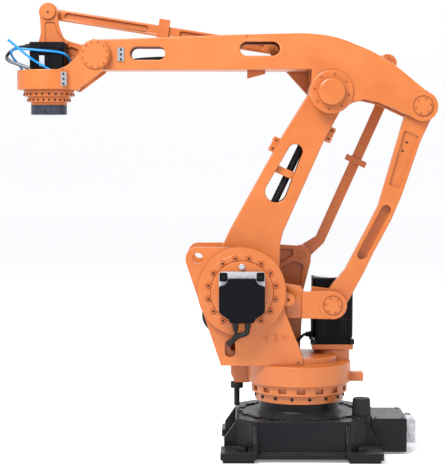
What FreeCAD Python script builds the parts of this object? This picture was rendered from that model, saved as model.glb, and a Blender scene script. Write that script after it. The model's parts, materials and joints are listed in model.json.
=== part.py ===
import FreeCAD
import Part
import Sketcher

import math
import os
import re
from types import SimpleNamespace

# Four-axis palletizing robot arm: a swivelling turret on a cast base, a lower arm and an
# upper arm driven through a crank and rod, and two chains of levelling rods that keep the
# wrist upright. The origin is on the floor at the swivel axis. The arm reaches towards -X,
# the crank is on the -Y side and the levelling rods are on the +Y side.

# Driving dimensions, in millimetres and degrees.
SIZES = {
    # pivots and member lengths
    "arm_pivot_x": -335, "arm_pivot_z": 940,
    "lower_arm_length": 1240, "lower_arm_lean": 24.1,
    "crank_length": 525, "crank_drop": 9,
    "upper_arm_length": 1360, "upper_arm_rise": 9,
    "lever_length": 395, "rear_lever_angle": 27.1, "top_lever_angle": 138.4,
    "wrist_offset": 280,
    # clearances
    "running_clearance": 0.05, "seat_gap": 0.3,
    # base
    "base_half": 370, "base_corner": 105, "base_floor": 32, "base_top": 222,
    "foot_inner": 250, "foot_outer": 455, "foot_top": 60, "foot_pad_height": 18,
    "foot_pad_inset": 14, "skirt_reach": 425, "skirt_top": 46, "anchor_x": 330, "anchor_y": 385,
    "anchor_hole_radius": 15,
    "jack_hole_place": 400, "jack_hole_radius": 12,
    "anchor_head_radius": 27, "anchor_head_height": 22, "washer_radius": 34, "washer_height": 6,
    "rib_thickness": 28, "rib_inset": 24, "rib_reach": 66, "rib_shoulder": 110, "rib_top": 205,
    "collar_radius": 230, "collar_foot_radius": 259, "collar_top": 297,
    "bumper_x": 346, "bumper_y": -213, "bumper_radius": 54, "bumper_top_radius": 49,
    "bumper_height": 98, "bumper_pad_radius": 62, "bumper_pad_top": 234,
    "cable_box_length": 240, "cable_box_half": 185, "cable_box_floor": 14, "cable_box_top": 208,
    "cable_box_wall": 12, "hood_length": 62, "hood_half": 88, "hood_floor": 48, "hood_top": 182,
    # swivel ring and turret
    "ring_lower_radius": 258, "ring_step": 345, "ring_radius": 278, "ring_top": 400,
    "ring_pockets": 16, "pocket_width": 46, "pocket_height": 26, "pocket_depth": 18,
    "drum_radius": 299, "drum_top": 517, "disc_radius": 216, "disc_top": 555,
    "stop_lug_reach": 371, "stop_lug_half": 34, "stop_lug_height": 53,
    "swivel_motor_x": 194, "swivel_motor_y": 120, "swivel_motor_half": 120,
    "swivel_flange_start": 579, "swivel_flange_height": 31, "swivel_motor_height": 386,
    "swivel_cap_radius": 108, "swivel_cap_height": 7, "motor_corner": 26,
    "pedestal_radius": 108,
    "plate_inner": 185, "plate_thickness": 40, "plate_front_x": -454, "plate_rear_x": 12,
    "plate_rear_height": 52, "plate_top_rise": 252, "lug_back": 251, "lug_rise": 190,
    "lug_radius": 62, "lug_hole_radius": 30, "drive_ring_radius": 250, "drive_ring_height": 30,
    "drive_recess_radius": 180, "drive_recess_depth": 12, "gear_boss_radius": 118,
    "crank_boss_height": 24.7, "arm_boss_height": 34.7,
    "lock_lug_reach": 268, "lock_lug_radius": 36, "lock_hole_radius": 8, "lock_lug_thickness": 24,
    "cable_hole_radius": 29, "bracket_radius": 59, "floor_top": 600, "floor_front_x": -440,
    "floor_rear_x": 0, "web_thickness": 42, "web_top": 700,
    "drive_motor_half": 129, "drive_motor_rise": 119, "drive_motor_drop": 165,
    "drive_motor_depth": 110, "drive_motor_corner": 20,
    "rib_pocket_depth": 24,
    "conduit_bracket_reach": 101, "conduit_bracket_half": 42, "conduit_bracket_floor": 376,
    "conduit_y": 100, "conduit_drop_reach": 65,
    "gland_radius": 37, "gland_height": 36, "conduit_radius": 16.5, "conduit_end": 236,
    # lower arm
    "arm_half": 88, "arm_wall": 33, "arm_hub_radius": 198, "elbow_radius": 123,
    "arm_hub_boss_radius": 150, "slot_lower_radius": 62,
    "slot_upper_radius": 42, "cavity_start": 235, "cavity_end": 1060, "arm_conduit_radius": 21,
    "arm_clamp_width": 44, "arm_clamp_drop": 524,
    # crank and drive rod
    "crank_inner": 96, "crank_outer": 160, "crank_hub_radius": 112, "crank_half_height": 76,
    "crank_boss_radius": 81, "ear_near_outer": 178, "ear_near_inner": 142,
    "ear_far_outer": 50, "ear_far_inner": 14, "fork_start": 398, "fork_web": 34, "fork_relief": 8,
    "near_ear_start": 348, "pin_radius": 30, "pin_cap_radius": 52, "pin_cap_height": 12,
    "rod_near": 134, "rod_far": 58, "rod_eye_radius": 74, "rod_recess_depth": 14,
    # upper arm
    "upper_half": 175, "upper_wall": 38, "nose_half": 88, "nose_radius": 87,
    "nose_length": 110, "wall_reach": 111, "wall_step": 127, "upper_skin": 24,
    "front_slot_half": 101, "front_slot_height": 73,
    "rear_slot_half": 113, "rear_slot_height": 79, "ridge_half": 96, "rear_boss_radius": 86,
    "rear_pin_radius": 28, "elbow_shaft_radius": 52, "elbow_cover_height": 12,
    "elbow_cap_radius": 74, "elbow_cap_height": 45, "hook_length": 105, "hook_place": 372,
    "hook_drop": 47,
    "hook_thickness": 26, "name_plate_width": 38, "name_plate_height": 77,
    "name_plate_thickness": 6, "wrist_cap_radius": 80, "wrist_cap_height": 12,
    # levelling linkage
    "link_start": 185, "link_thickness": 37, "rod_start": 230, "rod_thickness": 50,
    "link_pin_radius": 22, "link_boss_radius": 54, "link_hub_radius": 96, "link_arm_radius": 40,
    "link_cap_radius": 44, "link_cap_height": 8, "top_rod_half": 32, "rod_end_radius": 46,
    "rear_rod_half": 30, "rear_rod_bow": 68, "rear_rod_ramp": 125, "top_rod_recess_depth": 15,
    "top_clamp_station": 675, "top_clamp_length": 66, "top_clamp_height": 142,
    "rear_clamp_station": 640, "rear_clamp_length": 131, "rear_clamp_width": 36,
    "clamp_thickness": 12,
    # wrist
    "fork_gap": 6, "fork_thickness": 34, "tub_radius": 182, "tub_floor": 2087, "tub_top": 2200,
    "tub_wall": 16, "tub_base": 22, "wrist_pin_radius": 36, "wrist_motor_half": 100,
    "motor_clearance": 3,
    "wrist_motor_top": 2359, "wrist_motor_cap": 36, "output_radius": 145, "output_end": 2050,
    "seal_radius": 124, "seal_end": 2018, "bearing_radius": 103.5, "bearing_end": 2000,
    "flange_radius": 103.5, "flange_end": 1945, "flange_bore": 32, "flange_bore_depth": 20,
    "tool_holes": 6, "tool_hole_radius": 5, "tool_hole_circle": 80,
    "hose_radius": 7, "wrist_cable_radius": 9,
}

doc = FreeCAD.newDocument("PalletizingRobotArm")
sheet = doc.addObject("Spreadsheet::Sheet", "Sizes")
for row, (alias, number) in enumerate(SIZES.items(), start=1):
    sheet.set("A%d" % row, alias)
    sheet.set("B%d" % row, str(number))
    sheet.setAlias("B%d" % row, alias)
doc.recompute()

dim = SimpleNamespace(**SIZES)
nodes = {}

Y_AXIS = FreeCAD.Vector(0, 1, 0)
Z_AXIS = FreeCAD.Vector(0, 0, 1)


# ---------------------------------------------------------------- places in the XZ plane

def polar(length, degrees):
    """The step of a length at an angle above +X, in the XZ plane."""
    angle = math.radians(degrees)
    return length * math.cos(angle), length * math.sin(angle)


def shifted(place, dx, dz, *rounding):
    """A place moved by dx and dz, with the rounding of the corner there, if any."""
    return (place[0] + dx, place[1] + dz, *rounding)


def stepped(place, length, degrees):
    """A place moved by a length at an angle."""
    return shifted(place, *polar(length, degrees))


ARM_ANGLE = 90 - dim.lower_arm_lean
ARM_PIVOT = (dim.arm_pivot_x, dim.arm_pivot_z)
ELBOW = stepped(ARM_PIVOT, dim.lower_arm_length, ARM_ANGLE)
CRANK_END = stepped(ARM_PIVOT, dim.crank_length, -dim.crank_drop)
UPPER_REAR = stepped(ELBOW, dim.crank_length, -dim.crank_drop)
WRIST = stepped(ELBOW, dim.upper_arm_length, 180 - dim.upper_arm_rise)
TURRET_LINK = stepped(ARM_PIVOT, dim.lever_length, dim.rear_lever_angle)
PLATE_REAR = stepped(ELBOW, dim.lever_length, dim.rear_lever_angle)
PLATE_FRONT = stepped(ELBOW, dim.lever_length, dim.top_lever_angle)
WRIST_LINK = stepped(WRIST, dim.lever_length, dim.top_lever_angle)
TOOL_X = WRIST[0] - dim.wrist_offset


def beside(start, angle, along, across, *rounding):
    """A place along a member and across it, across being towards its rear or lower side."""
    place = stepped(stepped(start, along, angle), across, angle - 90)
    return (*place, *rounding)


# ---------------------------------------------------------------- document helpers

ALIAS = re.compile(r"\b(" + "|".join(sorted(SIZES, key=len, reverse=True)) + r")\b")


def bind(feature, name, rule):
    """Bind a property of a feature to a rule written in the sheet's aliases."""
    feature.setExpression(name, ALIAS.sub(r"Sizes.\1", rule))


def upright(direction):
    """The turn that lays a Z-built primitive along a direction."""
    return FreeCAD.Rotation(Z_AXIS, direction)


def bar(radius, length, x, y, z, direction=Y_AXIS):
    """A round bar or bore: radius and length are rules, its start is at x, y, z."""
    feature = doc.addObject("Part::Cylinder", "Bar")
    bind(feature, "Radius", radius)
    bind(feature, "Height", length)
    feature.Placement = FreeCAD.Placement(FreeCAD.Vector(x, y, z), upright(direction))
    return feature


def cone(radius_start, radius_end, length, x, y, z, direction=Z_AXIS):
    """A tapered bar with rules for its two radii and its length."""
    feature = doc.addObject("Part::Cone", "Taper")
    bind(feature, "Radius1", radius_start)
    bind(feature, "Radius2", radius_end)
    bind(feature, "Height", length)
    feature.Placement = FreeCAD.Placement(FreeCAD.Vector(x, y, z), upright(direction))
    return feature


def block(size_x, size_y, size_z, x, y, z, turn=0, centre=(0, 0)):
    """A box with rules for its sizes, its low corner at x, y, z, turned about a vertical."""
    feature = doc.addObject("Part::Box", "Block")
    bind(feature, "Length", size_x)
    bind(feature, "Width", size_y)
    bind(feature, "Height", size_z)
    rotation = FreeCAD.Rotation(Z_AXIS, turn)
    pivot = FreeCAD.Vector(centre[0], centre[1], 0)
    base = pivot + rotation.multVec(FreeCAD.Vector(x, y, z) - pivot)
    feature.Placement = FreeCAD.Placement(base, rotation)
    return feature


def joined(parts):
    """The union of several features."""
    if len(parts) == 1:
        return parts[0]
    feature = doc.addObject("Part::MultiFuse", "Joined")
    feature.Shapes = parts
    feature.Refine = True
    return feature


def cut(base, tools):
    """A feature with the tools cut away."""
    feature = doc.addObject("Part::Cut", "Cut")
    feature.Base = base
    feature.Tool = joined(tools)
    feature.Refine = True
    return feature


def kept_inside(base, tool):
    """The part of a feature that lies inside another."""
    feature = doc.addObject("Part::Common", "Common")
    feature.Base = base
    feature.Tool = tool
    feature.Refine = True
    return feature


def finish_node(name, feature):
    """Name a finished sub-part and list it for export."""
    feature.Label = name
    nodes[name] = feature


def corner_loop(corners):
    """Straight edges and tangent arcs round corners given as (u, v) or (u, v, radius)."""
    ends = []
    for index, corner in enumerate(corners):
        here = FreeCAD.Vector(corner[0], corner[1], 0)
        radius = corner[2] if len(corner) > 2 else 0
        if not radius:
            ends.append((here, None, here))
            continue
        before = corners[index - 1]
        after = corners[(index + 1) % len(corners)]
        back = (FreeCAD.Vector(before[0], before[1], 0) - here).normalize()
        on = (FreeCAD.Vector(after[0], after[1], 0) - here).normalize()
        half = back.getAngle(on) / 2
        bisector = (back + on).normalize()
        trim = radius / math.tan(half)
        middle = here + bisector * (radius / math.sin(half) - radius)
        ends.append((here + back * trim, middle, here + on * trim))
    edges = []
    for index, (_, _, leave) in enumerate(ends):
        arrive, middle, depart = ends[(index + 1) % len(ends)]
        if (arrive - leave).Length > 1e-6:
            edges.append(Part.LineSegment(leave, arrive))
        if middle is not None:
            edges.append(Part.Arc(arrive, middle, depart))
    return edges


def belt_loop(start, start_radius, end, end_radius):
    """The outline round two circles: two arcs and their outer tangents."""
    first = FreeCAD.Vector(start[0], start[1], 0)
    second = FreeCAD.Vector(end[0], end[1], 0)
    line = second - first
    heading = math.atan2(line.y, line.x)
    spread = math.acos((start_radius - end_radius) / line.Length)

    def rim(centre, radius, angle):
        return centre + FreeCAD.Vector(radius * math.cos(angle), radius * math.sin(angle), 0)

    left_start = rim(first, start_radius, heading + spread)
    right_start = rim(first, start_radius, heading - spread)
    left_end = rim(second, end_radius, heading + spread)
    right_end = rim(second, end_radius, heading - spread)
    return [
        Part.Arc(left_start, rim(first, start_radius, heading + math.pi), right_start),
        Part.LineSegment(right_start, right_end),
        Part.Arc(right_end, rim(second, end_radius, heading), left_end),
        Part.LineSegment(left_end, left_start),
    ]


def close_loop(sketch, edges):
    """Tie each edge of a sketched loop to the next one, end to end."""
    for index, edge in enumerate(edges):
        follower = edges[(index + 1) % len(edges)]
        pairs = [(ours, theirs) for ours in (1, 2) for theirs in (1, 2)]
        ours, theirs = min(pairs, key=lambda pair: (
            sketch.getPoint(edge, pair[0]) - sketch.getPoint(follower, pair[1])).Length)
        sketch.addConstraint(Sketcher.Constraint("Coincident", edge, ours, follower, theirs))


def add_pad(body, loops, start, depth, plane="XZ_Plane", circles=()):
    """Pad a sketch of loops and circles: from start by depth along +Y, or +Z on XY_Plane.

    A circle is (u, v, radius rule). Start and depth are rules.
    """
    sketch = body.newObject("Sketcher::SketchObject", "Outline")
    support = [item for item in body.Origin.OriginFeatures if item.Role == plane][0]
    sketch.AttachmentSupport = [(support, "")]
    sketch.MapMode = "FlatFace"
    if plane == "XZ_Plane":
        bind(sketch, ".AttachmentOffset.Base.z", "-(%s) - (%s)" % (start, depth))
    else:
        bind(sketch, ".AttachmentOffset.Base.z", start)
    for loop in loops:
        close_loop(sketch, [sketch.addGeometry(edge) for edge in loop])
    for across, up, radius in circles:
        ring = sketch.addGeometry(Part.Circle(FreeCAD.Vector(across, up, 0), Z_AXIS, 1))
        size = sketch.addConstraint(Sketcher.Constraint("Radius", ring, 1))
        bind(sketch, "Constraints[%d]" % size, radius)
    pad = body.newObject("PartDesign::Pad", "Pad")
    pad.Profile = sketch
    bind(pad, "Length", depth)
    return pad


def new_body():
    """An empty body, to be padded and named."""
    return doc.addObject("PartDesign::Body", "Piece")


def slab(loops, start, depth, plane="XZ_Plane", circles=()):
    """A body of one pad."""
    body = new_body()
    add_pad(body, loops, start, depth, plane, circles)
    return body


# ---------------------------------------------------------------- base

def base_casting():
    half, corner = dim.base_half, dim.base_corner
    plan = [(half, -half + corner), (half, half - corner), (half - corner, half)]
    plan += [(-x, y) for x, y in reversed(plan)]
    plan += [(-half, -half + corner), (-half + corner, -half), (half - corner, -half)]
    body = new_body()
    add_pad(body, [corner_loop(plan)], "base_floor", "base_top - base_floor", "XY_Plane")
    parts = [body, cone("collar_foot_radius", "collar_radius", "26", 0, 0, dim.base_top),
             bar("collar_radius", "collar_top - base_top", 0, 0, dim.base_top, Z_AXIS),
             bar("bumper_pad_radius", "bumper_pad_top - foot_top", dim.bumper_x, dim.bumper_y,
                 dim.foot_top, Z_AXIS)]
    skirt = "skirt_top - foot_pad_height"
    between = "2 * foot_inner"
    parts += [block(between, "2 * skirt_reach", skirt, -dim.foot_inner, -dim.skirt_reach,
                    dim.foot_pad_height),
              block("skirt_reach", between, skirt, -dim.skirt_reach, -dim.foot_inner,
                    dim.foot_pad_height)]
    holes = []
    rib = [(half - 60, dim.foot_top - 20), (half + dim.rib_reach, dim.foot_top - 20),
           (half + dim.rib_reach, dim.rib_shoulder), (half, dim.rib_top),
           (half - 60, dim.rib_top)]
    for side_x in (-1, 1):
        for side_y in (-1, 1):
            low_x = dim.foot_inner if side_x > 0 else -dim.foot_outer
            low_y = dim.foot_inner if side_y > 0 else -dim.foot_outer
            inset = dim.foot_pad_inset
            parts.append(block("foot_outer - foot_inner", "foot_outer - foot_inner",
                               "foot_top - foot_pad_height", low_x, low_y, dim.foot_pad_height))
            parts.append(block("foot_outer - foot_inner - 2 * foot_pad_inset",
                               "foot_outer - foot_inner - 2 * foot_pad_inset",
                               "foot_pad_height", low_x + inset, low_y + inset, 0))
            holes.append(bar("anchor_hole_radius", "foot_top", side_x * dim.anchor_x,
                             side_y * dim.anchor_y, 0, Z_AXIS))
            holes.append(bar("jack_hole_radius", "foot_top", side_x * dim.jack_hole_place,
                             side_y * dim.jack_hole_place, 0, Z_AXIS))
            rib_start = side_y * (dim.foot_inner + dim.rib_inset)
            low = min(rib_start, rib_start - side_y * dim.rib_thickness)
            outline = [(side_x * x, z) for x, z in rib]
            parts.append(slab([corner_loop(outline)], str(low), "rib_thickness"))
            low = min(side_x * (dim.foot_inner + dim.rib_inset),
                      side_x * (dim.foot_inner + dim.rib_inset - dim.rib_thickness))
            outline = [(side_y * y, z) for y, z in rib]
            parts.append(slab([corner_loop(outline)], str(low), "rib_thickness", "YZ_Plane"))
    finish_node("base_casting", cut(joined(parts), holes))


def anchor_bolts():
    for number, (side_x, side_y) in enumerate([(-1, -1), (1, -1), (1, 1), (-1, 1)], start=1):
        x, y = side_x * dim.anchor_x, side_y * dim.anchor_y
        washer = bar("washer_radius", "washer_height", x, y, dim.foot_top, Z_AXIS)
        head = doc.addObject("Part::Prism", "Head")
        head.Polygon = 6
        bind(head, "Circumradius", "anchor_head_radius")
        bind(head, "Height", "anchor_head_height")
        head.Placement.Base = FreeCAD.Vector(x, y, dim.foot_top + dim.washer_height)
        shank = bar("anchor_hole_radius - 1", "foot_top + washer_height", x, y, 0, Z_AXIS)
        finish_node("anchor_bolt_%d" % number, joined([washer, head, shank]))


def stop_bumper():
    finish_node("stop_bumper", cone("bumper_radius", "bumper_top_radius", "bumper_height",
                                    dim.bumper_x, dim.bumper_y, dim.bumper_pad_top))


def cable_box():
    start, half, wall = dim.base_half, dim.cable_box_half, dim.cable_box_wall
    shell = block("cable_box_length", "2 * cable_box_half", "cable_box_top - cable_box_floor",
                  start, -half, dim.cable_box_floor)
    room = block("cable_box_length - 2 * cable_box_wall",
                 "2 * cable_box_half - 2 * cable_box_wall",
                 "cable_box_top - cable_box_floor - 2 * cable_box_wall",
                 start + wall, -half + wall, dim.cable_box_floor + wall)
    # The rear corners of the base carry the bumper pad, which the box lies beside.
    pad = bar("bumper_pad_radius + seat_gap", "base_top", dim.bumper_x, dim.bumper_y, 0, Z_AXIS)
    finish_node("cable_box", cut(shell, [room, pad]))
    hood = block("hood_length", "2 * hood_half", "hood_top - hood_floor",
                 start + dim.cable_box_length, -dim.hood_half, dim.hood_floor)
    finish_node("connector_hood", hood)


# ---------------------------------------------------------------- turret

def swivel_ring():
    lower = bar("ring_lower_radius", "ring_step - collar_top - seat_gap", 0, 0,
                dim.collar_top + dim.seat_gap, Z_AXIS)
    upper = bar("ring_radius", "ring_top - ring_step", 0, 0, dim.ring_step, Z_AXIS)
    pockets = []
    middle = (dim.ring_step + dim.ring_top) / 2
    for number in range(int(dim.ring_pockets)):
        pockets.append(block("2 * pocket_depth", "pocket_width", "pocket_height",
                             dim.ring_radius - dim.pocket_depth, -dim.pocket_width / 2,
                             middle - dim.pocket_height / 2, 360 * number / dim.ring_pockets))
    finish_node("swivel_ring", cut(joined([lower, upper]), pockets))


def turret_drum():
    drum = bar("drum_radius", "drum_top - ring_top", 0, 0, dim.ring_top, Z_AXIS)
    disc = bar("disc_radius", "disc_top - ring_top", 0, 0, dim.ring_top, Z_AXIS)
    lug = block("stop_lug_reach - disc_radius", "2 * stop_lug_half", "stop_lug_height",
                dim.disc_radius, -dim.stop_lug_half, dim.ring_top)
    pedestal = bar("pedestal_radius", "swivel_flange_start - ring_top - 40",
                   dim.swivel_motor_x, dim.swivel_motor_y, dim.ring_top + 40, Z_AXIS)
    finish_node("turret_drum", joined([drum, disc, lug, pedestal]))


def swivel_motor():
    x, y, half = dim.swivel_motor_x, dim.swivel_motor_y, dim.swivel_motor_half
    flange = block("2 * swivel_motor_half", "2 * swivel_motor_half", "swivel_flange_height",
                   x - half, y - half, dim.swivel_flange_start)
    finish_node("swivel_motor_flange", flange)
    start = dim.swivel_flange_start + dim.swivel_flange_height
    corner = dim.motor_corner
    inner = half - 4
    square = [(x - inner, y - inner, corner), (x + inner, y - inner, corner),
              (x + inner, y + inner, corner), (x - inner, y + inner, corner)]
    case = slab([corner_loop(square)], str(start), "swivel_motor_height", "XY_Plane")
    finish_node("swivel_motor", case)
    cap = bar("swivel_cap_radius", "swivel_cap_height", x, y,
              start + dim.swivel_motor_height, Z_AXIS)
    finish_node("swivel_motor_cap", cap)


def plate_front_corners():
    """Bottom front and lug corners that both side plates share."""
    lug_x, lug_z = ARM_PIVOT[0] - dim.lug_back, ARM_PIVOT[1] + dim.lug_rise
    top = ARM_PIVOT[1] + dim.plate_top_rise
    return [(dim.plate_front_x, dim.drum_top), (lug_x - dim.lug_radius - 9, lug_z - 12, 60),
            (lug_x - dim.lug_radius + 6, top, dim.lug_radius - 4)]


def disc_room():
    """The room that the side plates leave for the raised disc of the drum."""
    return bar("disc_radius + seat_gap", "disc_top - drum_top + seat_gap", 0, 0, dim.drum_top,
               Z_AXIS)


def crank_side_plate():
    top = ARM_PIVOT[1] + dim.plate_top_rise
    outline = plate_front_corners() + [
        (ARM_PIVOT[0] + 10, top), shifted(ARM_PIVOT, 230, 60), shifted(ARM_PIVOT, 244, -111),
        (dim.plate_rear_x, dim.drum_top + dim.plate_rear_height, 12),
        (dim.plate_rear_x, dim.drum_top)]
    lug = shifted(ARM_PIVOT, -dim.lug_back, dim.lug_rise)
    start = "-plate_inner - plate_thickness"
    plate = slab([corner_loop(outline)], start, "plate_thickness",
                 circles=[(*lug, "lug_hole_radius")])
    face = -dim.plate_inner - dim.plate_thickness
    ring = bar("drive_ring_radius", "drive_ring_height + plate_thickness", ARM_PIVOT[0],
               face - dim.drive_ring_height, ARM_PIVOT[1])
    boss = bar("gear_boss_radius", "crank_boss_height", ARM_PIVOT[0], -dim.plate_inner,
               ARM_PIVOT[1])
    lock = stepped(ARM_PIVOT, dim.lock_lug_reach, -dim.crank_drop - 1)
    root = stepped(ARM_PIVOT, dim.drive_recess_radius, -dim.crank_drop - 1)
    ear = slab([belt_loop(root, dim.lock_lug_radius + 16, lock, dim.lock_lug_radius)],
               start, "lock_lug_thickness")
    recess = bar("drive_recess_radius", "drive_recess_depth", ARM_PIVOT[0],
                 face - dim.drive_ring_height, ARM_PIVOT[1])
    hole = bar("lock_hole_radius", "plate_thickness", lock[0], face, lock[1])
    cable = shifted((dim.plate_front_x, dim.drum_top), 52, 118)
    cable_hole = slab([belt_loop(cable, dim.cable_hole_radius, shifted(cable, 0, -40),
                                 dim.cable_hole_radius)],
                      start, "plate_thickness")
    solid = cut(joined([plate, ring, boss, ear]), [recess, hole, cable_hole])
    finish_node("crank_side_plate", cut(solid, [disc_room()]))


def rod_side_plate():
    top = ARM_PIVOT[1] + dim.plate_top_rise
    bracket = TURRET_LINK
    outline = plate_front_corners() + [
        (ARM_PIVOT[0] + 60, top), shifted(bracket, -30, dim.bracket_radius - 4, 20),
        shifted(bracket, dim.bracket_radius, 20, 40),
        shifted(bracket, dim.bracket_radius - 2, -40), shifted(bracket, 14, -210),
        (dim.plate_rear_x + 3, dim.drum_top + 83), (dim.plate_rear_x, dim.drum_top)]
    lug = shifted(ARM_PIVOT, -dim.lug_back, dim.lug_rise)
    plate = slab([corner_loop(outline)], "plate_inner", "plate_thickness",
                 circles=[(*lug, "lug_hole_radius")])
    ring = bar("drive_ring_radius", "drive_ring_height + plate_thickness", ARM_PIVOT[0],
               dim.plate_inner, ARM_PIVOT[1])
    boss = bar("gear_boss_radius", "arm_boss_height", ARM_PIVOT[0],
               dim.plate_inner - dim.arm_boss_height, ARM_PIVOT[1])
    pivot = bar("bracket_radius", "plate_thickness", bracket[0], dim.plate_inner, bracket[1])
    bore = bar("link_pin_radius", "plate_thickness", bracket[0], dim.plate_inner, bracket[1])
    upper = [(bracket[0] - 200, bracket[1] + 34, 10), shifted(bracket, -50, 34, 10),
             shifted(bracket, -48, -2, 12), shifted(bracket, -116, -44, 12),
             (bracket[0] - 200, bracket[1] - 76, 10)]
    lower = [shifted(bracket, -118, -78, 10), shifted(bracket, -46, -38, 14),
             shifted(bracket, 14, -58, 12), shifted(bracket, -8, -232, 12),
             shifted(bracket, -100, -232, 12)]
    pockets = slab([corner_loop(upper), corner_loop(lower)], "plate_inner",
                   "rib_pocket_depth")
    solid = cut(joined([plate, ring, boss, pivot]), [bore, pockets])
    finish_node("rod_side_plate", cut(solid, [disc_room()]))


def turret_frame():
    inner = "2 * plate_inner"
    floor = block("floor_rear_x - floor_front_x", inner, "floor_top - disc_top",
                  dim.floor_front_x, -dim.plate_inner, dim.disc_top)
    web = block("web_thickness", inner, "web_top - disc_top",
                dim.floor_front_x, -dim.plate_inner, dim.disc_top)
    finish_node("turret_frame", joined([floor, web]))


def drive_motor(name, side):
    """A square drive motor on the recess of a side plate, its corners cut off."""
    half, corner = dim.drive_motor_half, dim.drive_motor_corner
    x, z = ARM_PIVOT
    top, foot = z + dim.drive_motor_rise, z - dim.drive_motor_drop
    square = [(x - half, top - corner), (x - half + corner, top), (x + half - corner, top),
              (x + half, top - corner), (x + half, foot + half / 2), (x + half - 30, foot + 42),
              (x + half / 2, foot), (x - half / 2, foot), (x - half + 30, foot + 42),
              (x - half, foot + half / 2)]
    face = dim.plate_inner + dim.plate_thickness + dim.drive_ring_height
    if side < 0:
        start = dim.drive_recess_depth - face - dim.drive_motor_depth
        depth = "drive_motor_depth"
    else:
        start = face
        depth = "drive_motor_depth - drive_recess_depth"
    finish_node(name, slab([corner_loop(square)], str(start), depth))


def conduit_bracket():
    reach = dim.drum_radius + dim.conduit_bracket_reach
    conduit_x = -dim.drum_radius - dim.conduit_drop_reach
    low = dim.conduit_bracket_floor
    outline = [(-reach, dim.drum_top), (-reach, dim.drum_top - 86),
               (-reach + 24, low), (-dim.ring_radius + 20, low),
               (-dim.ring_radius + 20, dim.drum_top)]
    arm = slab([corner_loop(outline)], "conduit_y - conduit_bracket_half",
               "2 * conduit_bracket_half")
    drum = bar("drum_radius + seat_gap", "drum_top", 0, 0, 0, Z_AXIS)
    finish_node("conduit_bracket", cut(arm, [drum]))
    gland_start = low - dim.gland_height
    gland = bar("gland_radius", "gland_height", conduit_x, dim.conduit_y, gland_start, Z_AXIS)
    finish_node("conduit_gland", gland)
    tail = bar("conduit_radius", str(gland_start - dim.conduit_end), conduit_x,
               dim.conduit_y, dim.conduit_end, Z_AXIS)
    finish_node("base_conduit", tail)


def turret_link_pin():
    finish_node("turret_link_pin", link_pin(TURRET_LINK, dim.link_start))


def link_pin(place, start):
    """A levelling pin from a Y place through the rod lane, with its end cap."""
    reach = dim.rod_start + dim.rod_thickness + dim.seat_gap
    pin = bar("link_pin_radius", str(reach - start), place[0], start, place[1])
    cap = bar("link_cap_radius", "link_cap_height", place[0], reach, place[1])
    return joined([pin, cap])


# ---------------------------------------------------------------- lower arm

def on_arm(along, across):
    """A place on the lower arm, from its foot pivot, across towards the rear."""
    return beside(ARM_PIVOT, ARM_ANGLE, along, across)


def from_elbow(below, across):
    """A place on the lower arm measured down from the elbow."""
    return on_arm(dim.lower_arm_length - below, across)


def arm_outline(inset=0):
    """The lower arm between its hub and its head, with an inset for the hollow."""
    return [on_arm(100, -206 + inset), on_arm(286, -202 + inset), from_elbow(603, -173 + inset),
            from_elbow(340, -149 + inset), from_elbow(67, -112 + inset),
            from_elbow(67, 96 - inset), from_elbow(262, 80 - inset), on_arm(398, 81 - inset),
            on_arm(329, 94 - inset), on_arm(100, 190 - inset)]


def lower_arm():
    shank = slab([corner_loop(arm_outline())], "-arm_half", "2 * arm_half")
    hub = bar("arm_hub_radius", "2 * arm_half", ARM_PIVOT[0], -dim.arm_half, ARM_PIVOT[1])
    boss = bar("arm_hub_boss_radius", "plate_inner - arm_boss_height - seat_gap",
               ARM_PIVOT[0], 0, ARM_PIVOT[1])
    head = bar("elbow_radius", "2 * arm_half", ELBOW[0], -dim.arm_half, ELBOW[1])
    wall = dim.arm_wall
    hollow = [on_arm(dim.cavity_start, -204 + wall), from_elbow(603, -173 + wall),
              on_arm(dim.cavity_end, -118 + wall), on_arm(dim.cavity_end, 85 - wall),
              on_arm(398, 81 - wall), on_arm(dim.cavity_start, 120 - wall)]
    room = slab([corner_loop(hollow)], "arm_wall - arm_half", "2 * arm_half - 2 * arm_wall")
    low, high = from_elbow(646, -51), from_elbow(391, -44.5)
    window = slab([belt_loop(low, dim.slot_lower_radius, high, dim.slot_upper_radius)],
                  "-arm_half", "2 * arm_half")
    bore = bar("elbow_shaft_radius", "2 * arm_half", ELBOW[0], -dim.arm_half, ELBOW[1])
    finish_node("lower_arm", cut(joined([shank, hub, boss, head]), [room, window, bore]))


def elbow_shaft():
    start = -dim.upper_half + dim.upper_wall
    end = dim.link_start + dim.link_thickness
    shaft = bar("elbow_shaft_radius - running_clearance", str(end - start), ELBOW[0], start,
                ELBOW[1])
    finish_node("elbow_shaft", shaft)


def arm_conduit():
    start, end = on_arm(dim.cavity_start, -42), on_arm(dim.cavity_end, -18)
    run = FreeCAD.Vector(end[0] - start[0], 0, end[1] - start[1])
    low_station = dim.arm_clamp_drop + dim.arm_clamp_width / 2
    high_station = dim.arm_clamp_drop - dim.arm_clamp_width / 2
    bar_across = [from_elbow(low_station, -140), from_elbow(low_station, 60),
                  from_elbow(high_station, 60), from_elbow(high_station, -140)]
    clamp = slab([corner_loop(bar_across)], "arm_wall - arm_half",
                 "2 * arm_half - 2 * arm_wall")
    low, high = from_elbow(646, -51), from_elbow(391, -44.5)
    window = slab([belt_loop(low, dim.slot_lower_radius + 14, high, dim.slot_upper_radius + 14)],
                  "arm_wall - arm_half", "2 * arm_half - 2 * arm_wall")
    hole = bar("arm_conduit_radius", str(run.Length), start[0], 0, start[1], run)
    finish_node("arm_conduit_clamp", cut(kept_inside(clamp, window), [hole]))
    conduit = bar("arm_conduit_radius", str(run.Length - 16), start[0], 0, start[1], run)
    conduit.Placement.Base += run.normalize() * 8
    finish_node("arm_conduit", conduit)


# ---------------------------------------------------------------- crank and drive rod

def on_crank(along, across):
    """A place on the crank, from the arm pivot, across being downwards."""
    return beside(ARM_PIVOT, -dim.crank_drop, along, across)


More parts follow.
